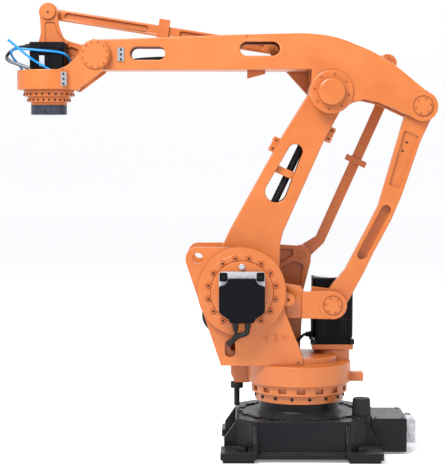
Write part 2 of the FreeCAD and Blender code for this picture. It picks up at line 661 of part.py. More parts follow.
def crank():
    half = dim.crank_half_height
    reach = dim.crank_length
    hub = bar("crank_hub_radius", "crank_outer - crank_inner", ARM_PIVOT[0],
              -dim.crank_outer, ARM_PIVOT[1])
    body = new_body()
    # The upper half of the fork's root is cut back, so that the rod can fold over it.
    relief = dim.fork_relief
    deep = shifted(CRANK_END, dim.near_ear_start - reach, -half)
    blade = [on_crank(0, half + 24), on_crank(0, -half - 24), on_crank(210, -half),
             on_crank(dim.fork_start - half + relief, -half), on_crank(dim.fork_start, relief),
             on_crank(dim.fork_start + dim.fork_web, relief),
             on_crank(dim.fork_start + dim.fork_web, half), deep, shifted(deep, -90, 0)]
    add_pad(body, [corner_loop(blade)], "-crank_outer", "crank_outer - crank_inner")
    web = [on_crank(dim.fork_start, half), on_crank(dim.fork_start, relief),
           on_crank(dim.fork_start + dim.fork_web, relief),
           on_crank(dim.fork_start + dim.fork_web, half)]
    bridge = slab([corner_loop(web)], "-ear_near_outer", "ear_near_outer - ear_far_inner")
    ear_reach = dim.crank_length - dim.near_ear_start
    near_blade = [shifted(CRANK_END, -ear_reach, half), shifted(CRANK_END, -ear_reach, -half),
                  shifted(CRANK_END, 0, -dim.crank_boss_radius),
                  shifted(CRANK_END, 0, dim.crank_boss_radius)]
    near = slab([corner_loop(near_blade)], "-ear_near_outer", "ear_near_outer - ear_near_inner")
    near_boss = bar("crank_boss_radius", "ear_near_outer - ear_near_inner", CRANK_END[0],
                    -dim.ear_near_outer, CRANK_END[1])
    far_from = [on_crank(dim.fork_start, half), on_crank(dim.fork_start, -half),
                on_crank(reach, -dim.crank_boss_radius), on_crank(reach, dim.crank_boss_radius)]
    far = slab([corner_loop(far_from)], "-ear_far_outer", "ear_far_outer - ear_far_inner")
    far_boss = bar("crank_boss_radius", "ear_far_outer - ear_far_inner", CRANK_END[0],
                   -dim.ear_far_outer, CRANK_END[1])
    bore = bar("pin_radius", "ear_near_outer", CRANK_END[0], -dim.ear_near_outer, CRANK_END[1])
    finish_node("crank", cut(joined([hub, body, bridge, near, near_boss, far, far_boss]), [bore]))


def crank_pin():
    pin = bar("pin_radius - running_clearance", "ear_near_outer - ear_far_inner", CRANK_END[0],
              -dim.ear_near_outer, CRANK_END[1])
    cap = bar("pin_cap_radius", "pin_cap_height", CRANK_END[0],
              -dim.ear_near_outer - dim.pin_cap_height, CRANK_END[1])
    cap.Placement.Base.y -= dim.seat_gap
    neck = bar("pin_radius - running_clearance", "seat_gap", CRANK_END[0],
               -dim.ear_near_outer - dim.seat_gap, CRANK_END[1])
    finish_node("crank_pin", joined([pin, neck, cap]))


def on_rod(along, across, *rounding):
    """A place on the drive rod, from the crank end, across towards the rear."""
    return beside(CRANK_END, ARM_ANGLE, along, across, *rounding)


def down_rod(below, across, *rounding):
    """A place on the drive rod measured down from its upper eye."""
    return on_rod(dim.lower_arm_length - below, across, *rounding)


def drive_rod():
    outline = [on_rod(20, -64, 40), on_rod(105, -46, 60), on_rod(215, -15, 80),
               down_rod(764, 0), down_rod(618, 6), down_rod(60, -72), down_rod(20, -72),
               down_rod(20, 76), down_rod(186, 73, 200), down_rod(508, 104, 300),
               down_rod(665, 107, 200), on_rod(366, 92), on_rod(240, 89), on_rod(20, 73)]
    lane = "rod_near - rod_far"
    shank = slab([corner_loop(outline)], "-rod_near", lane)
    eyes = [bar("rod_eye_radius", lane, place[0], -dim.rod_near, place[1])
            for place in (CRANK_END, UPPER_REAR)]
    upper = [down_rod(165, -34, 8), down_rod(165, 52, 8), down_rod(480, 78, 8),
             down_rod(480, 12, 8)]
    slot = slab([belt_loop(on_rod(330, 38), 27, down_rod(620, 56), 27)], "-rod_near",
                "rod_recess_depth + 26")
    recess = slab([corner_loop(upper)], "-rod_near", "rod_recess_depth")
    bores = [bar("pin_radius", lane, CRANK_END[0], -dim.rod_near, CRANK_END[1]),
             bar("rear_pin_radius + 1", lane, UPPER_REAR[0], -dim.rod_near, UPPER_REAR[1])]
    finish_node("drive_rod", cut(joined([shank, *eyes]), [slot, recess, *bores]))


# ---------------------------------------------------------------- upper arm

def plan_half(inset=0):
    """The upper arm seen from above: full width behind, narrowing to the nose."""
    wide, slim = dim.upper_half - inset, dim.nose_half - inset
    taper_end = ELBOW[0] - dim.wall_reach
    taper_start = WRIST[0] + dim.nose_length
    side = [(UPPER_REAR[0] + 120, wide), (taper_end, wide), (taper_start, slim),
            (WRIST[0] - 120, slim)]
    return side + [(x, -y) for x, y in reversed(side)]


def upper_outline(inset=0):
    """The upper arm from the side, with an inset for the hollow between its walls."""
    rear = dim.rear_boss_radius
    return [shifted(WRIST, 0, -dim.nose_radius + inset),
            shifted(WRIST, 0, dim.nose_radius - inset),
            shifted(ELBOW, -138, 337 - inset, 600), shifted(ELBOW, 30, 318 - inset, 500),
            shifted(ELBOW, 239, 231 - inset, 600), shifted(ELBOW, 365, 147 - inset, 500),
            shifted(UPPER_REAR, 23, rear - 3 - inset), shifted(UPPER_REAR, 23, 0),
            shifted(UPPER_REAR, -20, -rear + 4), shifted(UPPER_REAR, -107, -42),
            shifted(ELBOW, 329, -85), shifted(ELBOW, 257, -59), shifted(ELBOW, 186, -44),
            shifted(ELBOW, 126, -59), shifted(ELBOW, 46, -110), shifted(ELBOW, -117, -6),
            shifted(ELBOW, -dim.wall_reach, dim.wall_step + inset)]


def upper_arm():
    box = slab([corner_loop(upper_outline())], "-upper_half", "2 * upper_half")
    width = "2 * upper_half"
    start = -dim.upper_half
    discs = [bar("nose_radius", width, WRIST[0], start, WRIST[1]),
             bar("elbow_radius", width, ELBOW[0], start, ELBOW[1]),
             bar("rear_boss_radius", width, UPPER_REAR[0], start, UPPER_REAR[1])]
    plan = slab([corner_loop(plan_half())], "1500", "1500", "XY_Plane")
    solid = kept_inside(joined([box, *discs]), plan)
    skin = dim.upper_skin
    nose_end = (WRIST[0] + dim.nose_length + 10, WRIST[1])
    hollow = upper_outline(skin)[2:]
    hollow = [shifted(nose_end, 0, -dim.nose_radius + skin + 3),
              shifted(nose_end, 0, dim.nose_radius - skin)] + hollow
    # Between the walls the hollow runs open underneath, from the elbow to the rear boss.
    mouth, below = -dim.wall_reach - 14, -260
    hollow = hollow[:-10] + [shifted(UPPER_REAR, 160, 60), shifted(UPPER_REAR, 160, below),
                             shifted(ELBOW, mouth, below),
                             shifted(ELBOW, mouth, dim.wall_step + skin)]
    room = slab([corner_loop(hollow)], "upper_wall - upper_half",
                "2 * upper_half - 2 * upper_wall")
    inner_plan = slab([corner_loop(plan_half(dim.upper_wall))], "1500", "1500", "XY_Plane")
    inner_facets = [roof_facet(side, skin) for side in (-1, 1)]
    room = cut(kept_inside(room, inner_plan), inner_facets)
    front = shifted(WRIST, 297, 8)
    rear = shifted(ELBOW, -405, 244)
    half = dim.front_slot_height / 2
    slots = [slab([belt_loop(shifted(front, half - dim.front_slot_half, 0), half,
                             shifted(front, dim.front_slot_half - half, 0), half - 0.01)],
                  "-upper_half", width)]
    half = dim.rear_slot_height / 2
    slots.append(slab([belt_loop(shifted(rear, half - dim.rear_slot_half, 0), half,
                                 shifted(rear, dim.rear_slot_half - half, 0), half - 0.01)],
                      "-upper_half", width))
    bores = [bar("wrist_pin_radius", width, WRIST[0], start, WRIST[1]),
             bar("elbow_shaft_radius", width, ELBOW[0], start, ELBOW[1]),
             bar("rear_pin_radius", width, UPPER_REAR[0], start, UPPER_REAR[1])]
    facets = [roof_facet(side) for side in (-1, 1)]
    eye_room = bar("rod_eye_radius + fork_gap", "2 * upper_half - 2 * upper_wall",
                   UPPER_REAR[0], dim.upper_wall - dim.upper_half, UPPER_REAR[1])
    finish_node("upper_arm", cut(solid, [room, eye_room, *slots, *bores, *facets]))


def roof_facet(side, inset=0):
    """The wedge that is taken off one shoulder of the roof, or off the hollow beneath it."""
    wall, ridge = side * (dim.upper_half + 0.5), side * dim.ridge_half
    lower = [shifted(ELBOW, -94, 185), shifted(ELBOW, 341, 129)]
    upper = [shifted(ELBOW, -252, 330), shifted(ELBOW, 30, 318), shifted(ELBOW, 239, 231),
             shifted(ELBOW, 365, 147)]
    base = [FreeCAD.Vector(lower[0][0], wall, lower[0][1]),
            FreeCAD.Vector(lower[1][0], wall, lower[1][1])]
    across = base[1] - base[0]
    crest = FreeCAD.Vector(upper[1][0], ridge, upper[1][1])
    normal = across.cross(crest - base[0]).normalize()
    if normal.z < 0:
        normal = -normal
    along = FreeCAD.Vector(across).normalize()
    up = normal.cross(along)
    if up.z < 0:
        up = -up
    corners = [base[0] - along * 400, base[1] + along * 400,
               base[1] + along * 400 + up * 500, base[0] - along * 400 + up * 500]
    corners = [corner - normal * inset for corner in corners]
    face = Part.Face(Part.makePolygon(corners + corners[:1]))
    wedge = doc.addObject("Part::Feature", "RoofWedge")
    wedge.Shape = face.extrude(normal * 400)
    return wedge


def upper_arm_trim():
    start = -dim.upper_half - dim.elbow_cover_height
    cover = bar("elbow_radius", "elbow_cover_height", ELBOW[0], start, ELBOW[1])
    cap = bar("elbow_cap_radius", "elbow_cap_height", ELBOW[0], start - dim.elbow_cap_height,
              ELBOW[1])
    finish_node("elbow_cover", joined([cover, cap]))
    pin = bar("rear_pin_radius - running_clearance", "2 * upper_half", UPPER_REAR[0],
              -dim.upper_half, UPPER_REAR[1])
    end = bar("pin_cap_radius", "pin_cap_height", UPPER_REAR[0],
              -dim.upper_half - dim.pin_cap_height, UPPER_REAR[1])
    finish_node("rear_pin", joined([pin, end]))
    nose = WRIST[0] + dim.nose_length
    left = nose + 35
    run = ELBOW[0] - dim.wall_reach - nose
    lean = math.degrees(math.atan2(dim.upper_half - dim.nose_half, run))
    inward = dim.nose_half + (left - nose) * (dim.upper_half - dim.nose_half) / run
    plate = block("name_plate_width", "name_plate_thickness", "name_plate_height", 0, 0, 0)
    turn = FreeCAD.Rotation(Z_AXIS, -lean)
    base = FreeCAD.Vector(left - 19, -inward, WRIST[1] - 36)
    plate.Placement = FreeCAD.Placement(
        base - turn.multVec(FreeCAD.Vector(0, dim.name_plate_thickness - 1, 0)), turn)
    finish_node("arm_side_tag", plate)
    # The underside runs from below the wrist pin to the front corner of the elbow walls.
    step, reach = dim.wall_step, dim.wall_reach
    rise = (step - (WRIST[1] - dim.nose_radius - ELBOW[1])) / (ELBOW[0] - reach - WRIST[0])
    front, rear = dim.hook_place + dim.hook_length, dim.hook_place
    hook = [shifted(ELBOW, -front, step - (front - reach) * rise),
            shifted(ELBOW, -front, step - dim.hook_drop), shifted(ELBOW, -rear, step - 19),
            shifted(ELBOW, -rear, step - (rear - reach) * rise)]
    finish_node("hose_hook", slab([corner_loop(hook)], "-hook_thickness / 2", "hook_thickness"))


# ---------------------------------------------------------------- levelling linkage

def elbow_plate():
    body = new_body()
    hub, arm, end = dim.link_hub_radius, dim.link_arm_radius, dim.link_boss_radius
    for start, start_radius, stop, stop_radius in (
            (ELBOW, hub, PLATE_REAR, end), (ELBOW, hub, PLATE_FRONT, end),
            (PLATE_REAR, arm, PLATE_FRONT, arm + 1)):
        add_pad(body, [belt_loop(start, start_radius, stop, stop_radius)], "link_start",
                "link_thickness")
    bore = bar("elbow_shaft_radius", "link_thickness", ELBOW[0], dim.link_start, ELBOW[1])
    holes = [bar("link_pin_radius", "link_thickness", place[0], dim.link_start, place[1])
             for place in (PLATE_REAR, PLATE_FRONT)]
    finish_node("elbow_plate", cut(body, [bore, *holes]))
    finish_node("front_link_pin", link_pin(PLATE_FRONT, dim.link_start))
    finish_node("rear_link_pin", link_pin(PLATE_REAR, dim.link_start))


def top_rod():
    half, end = dim.top_rod_half, dim.rod_end_radius
    angle = math.degrees(math.atan2(PLATE_FRONT[1] - WRIST_LINK[1],
                                    PLATE_FRONT[0] - WRIST_LINK[0]))
    length = dim.upper_arm_length

    def on_top(along, across, *rounding):
        return beside(WRIST_LINK, angle, along, across, *rounding)

    shank = slab([corner_loop([on_top(0, -half), on_top(length, -half), on_top(length, half),
                               on_top(0, half)])], "rod_start", "rod_thickness")
    eyes = [bar("rod_end_radius", "rod_thickness", place[0], dim.rod_start, place[1])
            for place in (WRIST_LINK, PLATE_FRONT)]
    bores = [bar("link_pin_radius + 1", "rod_thickness", WRIST_LINK[0], dim.rod_start,
                 WRIST_LINK[1]),
             bar("link_pin_radius + running_clearance", "rod_thickness", PLATE_FRONT[0],
                 dim.rod_start, PLATE_FRONT[1])]
    recesses = []
    clamp = dim.top_clamp_station
    for low, high in ((end + 38, clamp - 90), (clamp + 98, length - end - 38)):
        loop = [on_top(low, -17, 15), on_top(high, -17, 15), on_top(high, 17, 15),
                on_top(low, 17, 15)]
        for start in ("rod_start", "rod_start + rod_thickness - top_rod_recess_depth"):
            recesses.append(slab([corner_loop(loop)], start, "top_rod_recess_depth"))
    finish_node("top_rod", cut(joined([shank, *eyes]), [*bores, *recesses]))
    reach = dim.top_clamp_length / 2
    tall = dim.top_clamp_height / 2
    plate = [on_top(clamp - reach, -tall), on_top(clamp + reach, -tall),
             on_top(clamp + reach, tall), on_top(clamp - reach, tall)]
    finish_node("top_rod_clamp", slab([corner_loop(plate)], "rod_start - clamp_thickness",
                                      "clamp_thickness"))


def rear_rod():
    half, end, bow = dim.rear_rod_half, dim.rod_end_radius, dim.rear_rod_bow
    length, ramp = dim.lower_arm_length, dim.rear_rod_ramp

    def on_rear(along, across):
        return beside(TURRET_LINK, ARM_ANGLE, along, across)

    body = new_body()
    path = [(on_rear(0, 0), end), (on_rear(ramp, bow), half), (on_rear(length - ramp, bow), half),
            (on_rear(length, 0), end)]
    for (start, start_radius), (stop, stop_radius) in zip(path, path[1:]):
        add_pad(body, [belt_loop(start, start_radius, stop, stop_radius + 0.001)], "rod_start",
                "rod_thickness")
    bores = [bar("link_pin_radius + running_clearance", "rod_thickness", TURRET_LINK[0],
                 dim.rod_start, TURRET_LINK[1]),
             bar("link_pin_radius + 1", "rod_thickness", PLATE_REAR[0], dim.rod_start,
                 PLATE_REAR[1])]
    finish_node("rear_rod", cut(body, bores))
    station = dim.rear_clamp_station
    tall, reach = dim.rear_clamp_width / 2, dim.rear_clamp_length / 2
    plate = [on_rear(station - tall, bow - reach), on_rear(station + tall, bow - reach),
             on_rear(station + tall, bow + reach), on_rear(station - tall, bow + reach)]
    finish_node("rear_rod_clamp", slab([corner_loop(plate)], "rod_start - clamp_thickness",
                                       "clamp_thickness"))


# ---------------------------------------------------------------- wrist

def wrist_side(start, depth, levelling):
    """One side plate of the wrist, between the tub, the wrist pin and the levelling pin."""
    height, floor = dim.tub_top, dim.tub_floor
    outline = [(TOOL_X + 169, floor - 9), shifted(WRIST, 42, -94), shifted(WRIST, 60, 30),
               shifted(WRIST, -10, dim.nose_radius), shifted(WRIST, -74, 27)]
    if levelling:
        outline = outline[:3] + [shifted(WRIST, 20, dim.nose_radius - 2),
                                 shifted(WRIST, -104, 72), shifted(WRIST_LINK, 93, -162, 60),
                                 shifted(WRIST_LINK, 62, -80, 120), shifted(WRIST_LINK, 52, 10),
                                 shifted(WRIST_LINK, -52, 10), shifted(WRIST_LINK, -42, -120, 160),
                                 shifted(WRIST_LINK, -58, -176), (TOOL_X - 120, height - 30)]
    else:
        outline += [shifted(WRIST, -111, -16, 80), shifted(WRIST, -161, -63, 80),
                    shifted(WRIST, -245, -94), (TOOL_X - 120, height)]
    outline += [(TOOL_X - 120, floor), (TOOL_X + dim.output_radius + 3, floor)]
    plate = slab([corner_loop(outline)], start, depth)
    low = -dim.nose_half - dim.fork_gap - dim.fork_thickness
    low = low if not levelling else dim.nose_half + dim.fork_gap
    parts = [plate, bar("nose_radius", depth, WRIST[0], low, WRIST[1])]
    if levelling:
        parts.append(bar("link_boss_radius", "link_start + link_thickness - nose_half - fork_gap",
                         WRIST_LINK[0], low, WRIST_LINK[1]))
    return joined(parts)


def wrist_housing():
    tub = bar("tub_radius", "tub_top - tub_floor", TOOL_X, 0, dim.tub_floor, Z_AXIS)
    crank_side = wrist_side("-nose_half - fork_gap - fork_thickness", "fork_thickness", False)
    link_side = wrist_side("nose_half + fork_gap", "fork_thickness", True)
    room = bar("tub_radius - tub_wall", "tub_top - tub_floor - tub_base", TOOL_X, 0,
               dim.tub_floor + dim.tub_base, Z_AXIS)
    nose = bar("nose_radius + 14", "2 * nose_half + 2 * fork_gap", WRIST[0],
               -dim.nose_half - dim.fork_gap, WRIST[1])
    reach = dim.nose_half + dim.fork_gap + dim.fork_thickness
    upper = [shifted(WRIST_LINK, -20, -62, 12), shifted(WRIST_LINK, 40, -62, 12),
             shifted(WRIST_LINK, 50, -112, 60), shifted(WRIST_LINK, 96, -172, 10),
             shifted(WRIST_LINK, 40, -232, 10), shifted(WRIST_LINK, -14, -232, 10)]
    lower = [shifted(WRIST_LINK, 132, -204, 10), shifted(WRIST_LINK, 176, -224, 8),
             shifted(WRIST_LINK, 150, -268, 10), shifted(WRIST_LINK, 76, -262, 10)]
    pockets = slab([corner_loop(upper), corner_loop(lower)], "nose_half + fork_gap",
                   "fork_thickness / 2")
    bores = [bar("wrist_pin_radius", str(2 * reach), WRIST[0], -reach, WRIST[1]),
             bar("link_pin_radius", "link_start + link_thickness", WRIST_LINK[0], 0,
                 WRIST_LINK[1])]
    motor_side = "2 * wrist_motor_half + 2 * motor_clearance"
    corner = dim.wrist_motor_half + dim.motor_clearance
    motor_room = block(motor_side, motor_side, "wrist_motor_top", TOOL_X - corner, -corner,
                       dim.tub_floor + dim.tub_base)
    solid = cut(joined([tub, crank_side]), [room, nose])
    # The tub is hollow above its floor, and the link side keeps its lever past the rim.
    lever = cut(link_side, [room, pockets])
    finish_node("wrist_housing", cut(joined([solid, lever]), [motor_room, *bores]))


def wrist_trim():
    reach = dim.nose_half + dim.fork_gap + dim.fork_thickness
    radius = "wrist_pin_radius - running_clearance"
    pin = bar(radius, str(2 * reach), WRIST[0], -reach, WRIST[1])
    caps = [bar("wrist_cap_radius", "wrist_cap_height", WRIST[0], start, WRIST[1])
            for start in (-reach - dim.wrist_cap_height, reach)]
    finish_node("wrist_pin", joined([pin, *caps]))
    finish_node("wrist_link_pin", link_pin(WRIST_LINK, dim.nose_half + dim.fork_gap))
    half = dim.wrist_motor_half
    floor = dim.tub_floor + dim.tub_base
    corner = dim.motor_corner
    square = [(TOOL_X - half, -half, corner), (TOOL_X + half, -half, corner),
              (TOOL_X + half, half, corner), (TOOL_X - half, half, corner)]
    height = "wrist_motor_top - wrist_motor_cap - tub_floor - tub_base"
    finish_node("wrist_motor", slab([corner_loop(square)], str(floor), height, "XY_Plane"))
    finish_node("wrist_motor_cap", slab([corner_loop(square)],
                                        "wrist_motor_top - wrist_motor_cap",
                                        "wrist_motor_cap", "XY_Plane"))
    rings = [bar("output_radius", "tub_floor - output_end", TOOL_X, 0, dim.output_end, Z_AXIS),
             bar("seal_radius", "output_end - seal_end", TOOL_X, 0, dim.seal_end, Z_AXIS),
             bar("bearing_radius", "seal_end - bearing_end - seat_gap", TOOL_X, 0,
                 dim.bearing_end + dim.seat_gap, Z_AXIS)]
    finish_node("wrist_output", joined(rings))


def tool_flange():
    disc = bar("flange_radius", "bearing_end - flange_end", TOOL_X, 0, dim.flange_end, Z_AXIS)
    holes = [bar("flange_bore", "flange_bore_depth", TOOL_X, 0, dim.flange_end, Z_AXIS)]
    for number in range(int(dim.tool_holes)):
        angle = 2 * math.pi * number / dim.tool_holes
        holes.append(bar("tool_hole_radius", "flange_bore_depth",
                         TOOL_X + dim.tool_hole_circle * math.cos(angle),
                         dim.tool_hole_circle * math.sin(angle), dim.flange_end, Z_AXIS))
    finish_node("tool_flange", cut(disc, holes))


# ---------------------------------------------------------------- hoses and cable at the wrist

# Routes are chosen by hand, from the tool axis across and along Y, and up from the tub floor.
ROUTES = {
    "air_hose_1": [(87, -130, 0), (87, -130, 44), (52, -133, 74), (2, -134, 100),
                   (-66, -133, 140), (-118, -131, 178), (-166, -129, 221), (-216, -126, 260)],
    "air_hose_2": [(134, -20, 0), (134, -20, 70), (132, -44, 140), (112, -92, 180),
                   (66, -114, 192), (-18, -115, 199), (-108, -112, 207), (-168, -104, 212),
                   (-208, -74, 200), (-210, -34, 172), (-181, -8, 134), (-143, 2, 84),
                   (-141, 2, 0)],
    "wrist_cable": [(-48, -128, 0), (-48, -128, 52), (-82, -129, 92), (-150, -120, 118),
                    (-212, -102, 138), (-240, -62, 164), (-218, -14, 203), (-168, 12, 231),
                    (-100, 12, 231)],
}


def hose(name, radius_name):
    """A tube along straight runs joined by tangent arcs, as large as the runs allow."""
    floor = dim.tub_floor + dim.tub_base
    points = [FreeCAD.Vector(TOOL_X + x, y, floor + z) for x, y, z in ROUTES[name]]
    edges, radii, here = [], [], points[0]
    for before, corner, after in zip(points, points[1:], points[2:]):
        back, on = before - corner, after - corner
        shorter = min(back.Length, on.Length)
        turn = math.pi - back.getAngle(on)
        reach = 0.45 * shorter
        bend = reach / math.tan(turn / 2)
        back, on = back.normalize(), on.normalize()
        arrive, leave = corner + back * reach, corner + on * reach
        middle = (back + on).normalize()
        depth = bend / math.cos(turn / 2) - bend
        edges.append(Part.LineSegment(here, arrive).toShape())
        edges.append(Part.Arc(arrive, corner + middle * depth, leave).toShape())
        radii.append(bend)
        here = leave
    edges.append(Part.LineSegment(here, points[-1]).toShape())
    path = Part.Wire(edges)
    radius = SIZES[radius_name]
    ring = Part.Wire(Part.makeCircle(radius, points[0], points[1] - points[0]))
    tube = path.makePipeShell([ring], True, True)
    feature = doc.addObject("Part::Feature", "Hose")
    feature.Shape = tube
    share = tube.Volume / (math.pi * radius ** 2 * path.Length)
    print("%s: length %.0f mm, volume share %.4f, radii %s"
          % (name, path.Length, share, ", ".join("%.0f" % bend for bend in radii)))
    finish_node(name, feature)


def hoses():
    hose("air_hose_1", "hose_radius")
    hose("air_hose_2", "hose_radius")
    hose("wrist_cable", "wrist_cable_radius")


# ---------------------------------------------------------------- build and export

for build in (base_casting, anchor_bolts, stop_bumper, cable_box, swivel_ring, turret_drum,
              swivel_motor, crank_side_plate, rod_side_plate, turret_frame, conduit_bracket,
              turret_link_pin, lower_arm, elbow_shaft, arm_conduit, crank, crank_pin, drive_rod,
              upper_arm, upper_arm_trim, elbow_plate, top_rod, rear_rod, wrist_housing,
              wrist_trim, tool_flange, hoses):
    build()
drive_motor("crank_drive_motor", -1)
drive_motor("arm_drive_motor", 1)
doc.recompute()

failed = [item.Label for item in doc.Objects
          if "Invalid" in item.State or "Error" in item.State]
if failed:
    raise RuntimeError("these failed: %s" % ", ".join(failed))

os.makedirs("parts", exist_ok=True)
for name, feature in nodes.items():
    shape = feature.Shape
    if shape.isNull() or not shape.isValid() or not shape.Solids:
        raise RuntimeError("%s has no valid shape" % name)
    shape.exportStep("parts/%s.step" % name)
    print("%-22s solids %d volume %.4f litres" % (name, len(shape.Solids), shape.Volume / 1e6))
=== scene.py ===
import bpy
import bmesh
import json
import math
import numpy as np
from mathutils.bvhtree import BVHTree
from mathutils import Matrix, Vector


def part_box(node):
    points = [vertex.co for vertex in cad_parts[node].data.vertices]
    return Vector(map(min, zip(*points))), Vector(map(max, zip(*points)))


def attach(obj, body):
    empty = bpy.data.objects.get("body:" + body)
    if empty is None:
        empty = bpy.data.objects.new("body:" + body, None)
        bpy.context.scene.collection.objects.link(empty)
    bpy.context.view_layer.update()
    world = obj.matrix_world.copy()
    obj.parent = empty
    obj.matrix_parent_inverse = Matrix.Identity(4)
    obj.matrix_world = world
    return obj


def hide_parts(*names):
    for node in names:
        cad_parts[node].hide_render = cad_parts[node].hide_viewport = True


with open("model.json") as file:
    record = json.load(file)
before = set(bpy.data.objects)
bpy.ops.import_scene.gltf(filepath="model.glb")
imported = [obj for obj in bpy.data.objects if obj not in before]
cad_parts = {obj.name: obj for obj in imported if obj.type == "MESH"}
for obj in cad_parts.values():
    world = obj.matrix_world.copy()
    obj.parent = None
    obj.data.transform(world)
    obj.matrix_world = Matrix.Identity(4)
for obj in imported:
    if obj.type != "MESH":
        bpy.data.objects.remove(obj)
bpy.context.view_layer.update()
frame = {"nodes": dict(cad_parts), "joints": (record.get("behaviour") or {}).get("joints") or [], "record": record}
print("frame loaded:", len(frame["nodes"]), "nodes")

pivots = {joint["name"]: np.array(joint["pos_m"]) for joint in frame["joints"]}
bodyOf = {node: body for body, group in frame["record"]["behaviour"]["bodies"].items()
          for node in group}
armPivot, elbow = pivots["arm_swing"], pivots["upper_arm_swing"]
crankEnd, wristPivot = pivots["drive_rod_swing"], pivots["wrist_level"]
rearLink, frontLink = pivots["rear_rod_swing"], pivots["top_rod_swing"]
toolAxis = pivots["tool_turn"]
xAxis, yAxis, zAxis = np.eye(3)


def nodeBox(node):
    low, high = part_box(node)
    return np.array(low), np.array(high)


def srgb(hexCode):
    channels = [int(hexCode[place:place + 2], 16) / 255 for place in (1, 3, 5)]
    return tuple(value / 12.92 if value <= 0.04045 else ((value + 0.055) / 1.055) ** 2.4
                 for value in channels) + (1,)


def addNode(tree, kind, settings=None, inputs=None):
    # settings are the node's own values; inputs are socket values, or (node, output) to link
    node = tree.nodes.new(kind)
    for name, value in (settings or {}).items():
        setattr(node, name, value)
    for name, value in (inputs or {}).items():
        socket = node.inputs[name]
        if isinstance(value, tuple) and len(value) == 2 and hasattr(value[0], "outputs"):
            tree.links.new(value[0].outputs[value[1]], socket)
        else:
            socket.default_value = value
    return node


def newMaterial(name):
    material = bpy.data.materials.new(name)
    material.use_nodes = True
    tree = material.node_tree
    tree.nodes.clear()
    return material, tree


def finishMaterial(tree, shader):
    addNode(tree, "ShaderNodeOutputMaterial", inputs={"Surface": (shader, 0)})


def grainNoise(tree, place, scale, detail, roughness=0.5):
    return addNode(tree, "ShaderNodeTexNoise", inputs={
        "Vector": (place, "Object"), "Scale": scale, "Detail": detail, "Roughness": roughness})


def mappedRange(tree, source, fromLow, fromHigh, toLow, toHigh):
    return addNode(tree, "ShaderNodeMapRange", inputs={
        "Value": source, "From Min": fromLow, "From Max": fromHigh,
        "To Min": toLow, "To Max": toHigh})


def bumpFrom(tree, source, strength, distance):
    return addNode(tree, "ShaderNodeBump", inputs={
        "Height": source, "Strength": strength, "Distance": distance})


def rampBetween(tree, source, stops):
    ramp = addNode(tree, "ShaderNodeValToRGB", inputs={"Fac": source})
    ramp.color_ramp.elements[0].position = stops[0][0]
    ramp.color_ramp.elements[1].position = stops[-1][0]
    for place, _ in stops[1:-1]:
        ramp.color_ramp.elements.new(place)
    for element, (_, colour) in zip(ramp.color_ramp.elements, stops):
        element.color = colour
    return ramp


# Orange enamel sprayed on rough castings: glossy, with orange peel, and with painted shade darkening its corners.
def enamelOnCasting():
    material, tree = newMaterial("orangeEnamel")
    place = addNode(tree, "ShaderNodeTexCoord")
    drift = grainNoise(tree, place, 5.0, 3.0, 0.55)
    tone = rampBetween(tree, (drift, "Fac"), [(0.3, srgb("#B66026")), (0.7, srgb("#BF692D"))])
    # painted shade: ambient occlusion blends the enamel towards dark brown in corners and recesses
    corner = addNode(tree, "ShaderNodeAmbientOcclusion", {"samples": 4}, {"Distance": 0.05})
    paintedCornerShade = mappedRange(tree, (corner, "AO"), 0.2, 0.75, 0.65, 0.0)
    cornerShadedTone = addNode(tree, "ShaderNodeMix", {"data_type": "RGBA"}, {
        "Factor": (paintedCornerShade, 0), "A": (tone, 0), "B": srgb("#7E3514")})
    cast = grainNoise(tree, place, 120.0, 2.0)  # 8 mm cast grain
    peel = grainNoise(tree, place, 620.0, 1.0)  # 1.6 mm orange peel
    relief = addNode(tree, "ShaderNodeMath", {"operation": "MULTIPLY_ADD"}, {
        0: (peel, "Fac"), 1: 0.35, 2: (cast, "Fac")})
    bump = bumpFrom(tree, (relief, 0), 0.16, 0.002)
    gloss = mappedRange(tree, (drift, "Fac"), 0.3, 0.7, 0.33, 0.44)
    shader = addNode(tree, "ShaderNodeBsdfPrincipled", inputs={
        "Base Color": (cornerShadedTone, "Result"), "Roughness": (gloss, 0), "Normal": (bump, 0),
        "IOR": 1.5, "Specular IOR Level": 0.5, "Coat Weight": 0.2, "Coat Roughness": 0.16})
    finishMaterial(tree, shader)
    return material


# Black enamel on grey iron: deep and glossy, with pale dust lying on its upper faces.
def blackEnamel():
    material, tree = newMaterial("blackEnamel")
    place = addNode(tree, "ShaderNodeTexCoord")
    facing = addNode(tree, "ShaderNodeSeparateXYZ", inputs={0: (place, "Normal")})
    patches = grainNoise(tree, place, 14.0, 5.0, 0.6)
    upward = mappedRange(tree, (facing, "Z"), 0.5, 1.0, 0.0, 0.22)
    dust = addNode(tree, "ShaderNodeMath", {"operation": "MULTIPLY"}, {
        0: (upward, 0), 1: (patches, "Fac")})
    colour = addNode(tree, "ShaderNodeMix", {"data_type": "RGBA"}, {
        "Factor": (dust, 0), "A": srgb("#0F1014"), "B": srgb("#77777A")})
    cast = grainNoise(tree, place, 160.0, 3.0)
    bump = bumpFrom(tree, (cast, "Fac"), 0.22, 0.002)
    gloss = mappedRange(tree, (patches, "Fac"), 0.3, 0.7, 0.26, 0.42)
    shader = addNode(tree, "ShaderNodeBsdfPrincipled", inputs={
        "Base Color": (colour, "Result"), "Roughness": (gloss, 0), "Normal": (bump, 0),
        "IOR": 1.5, "Specular IOR Level": 0.2, "Coat Weight": 0.0})
    finishMaterial(tree, shader)
    return material


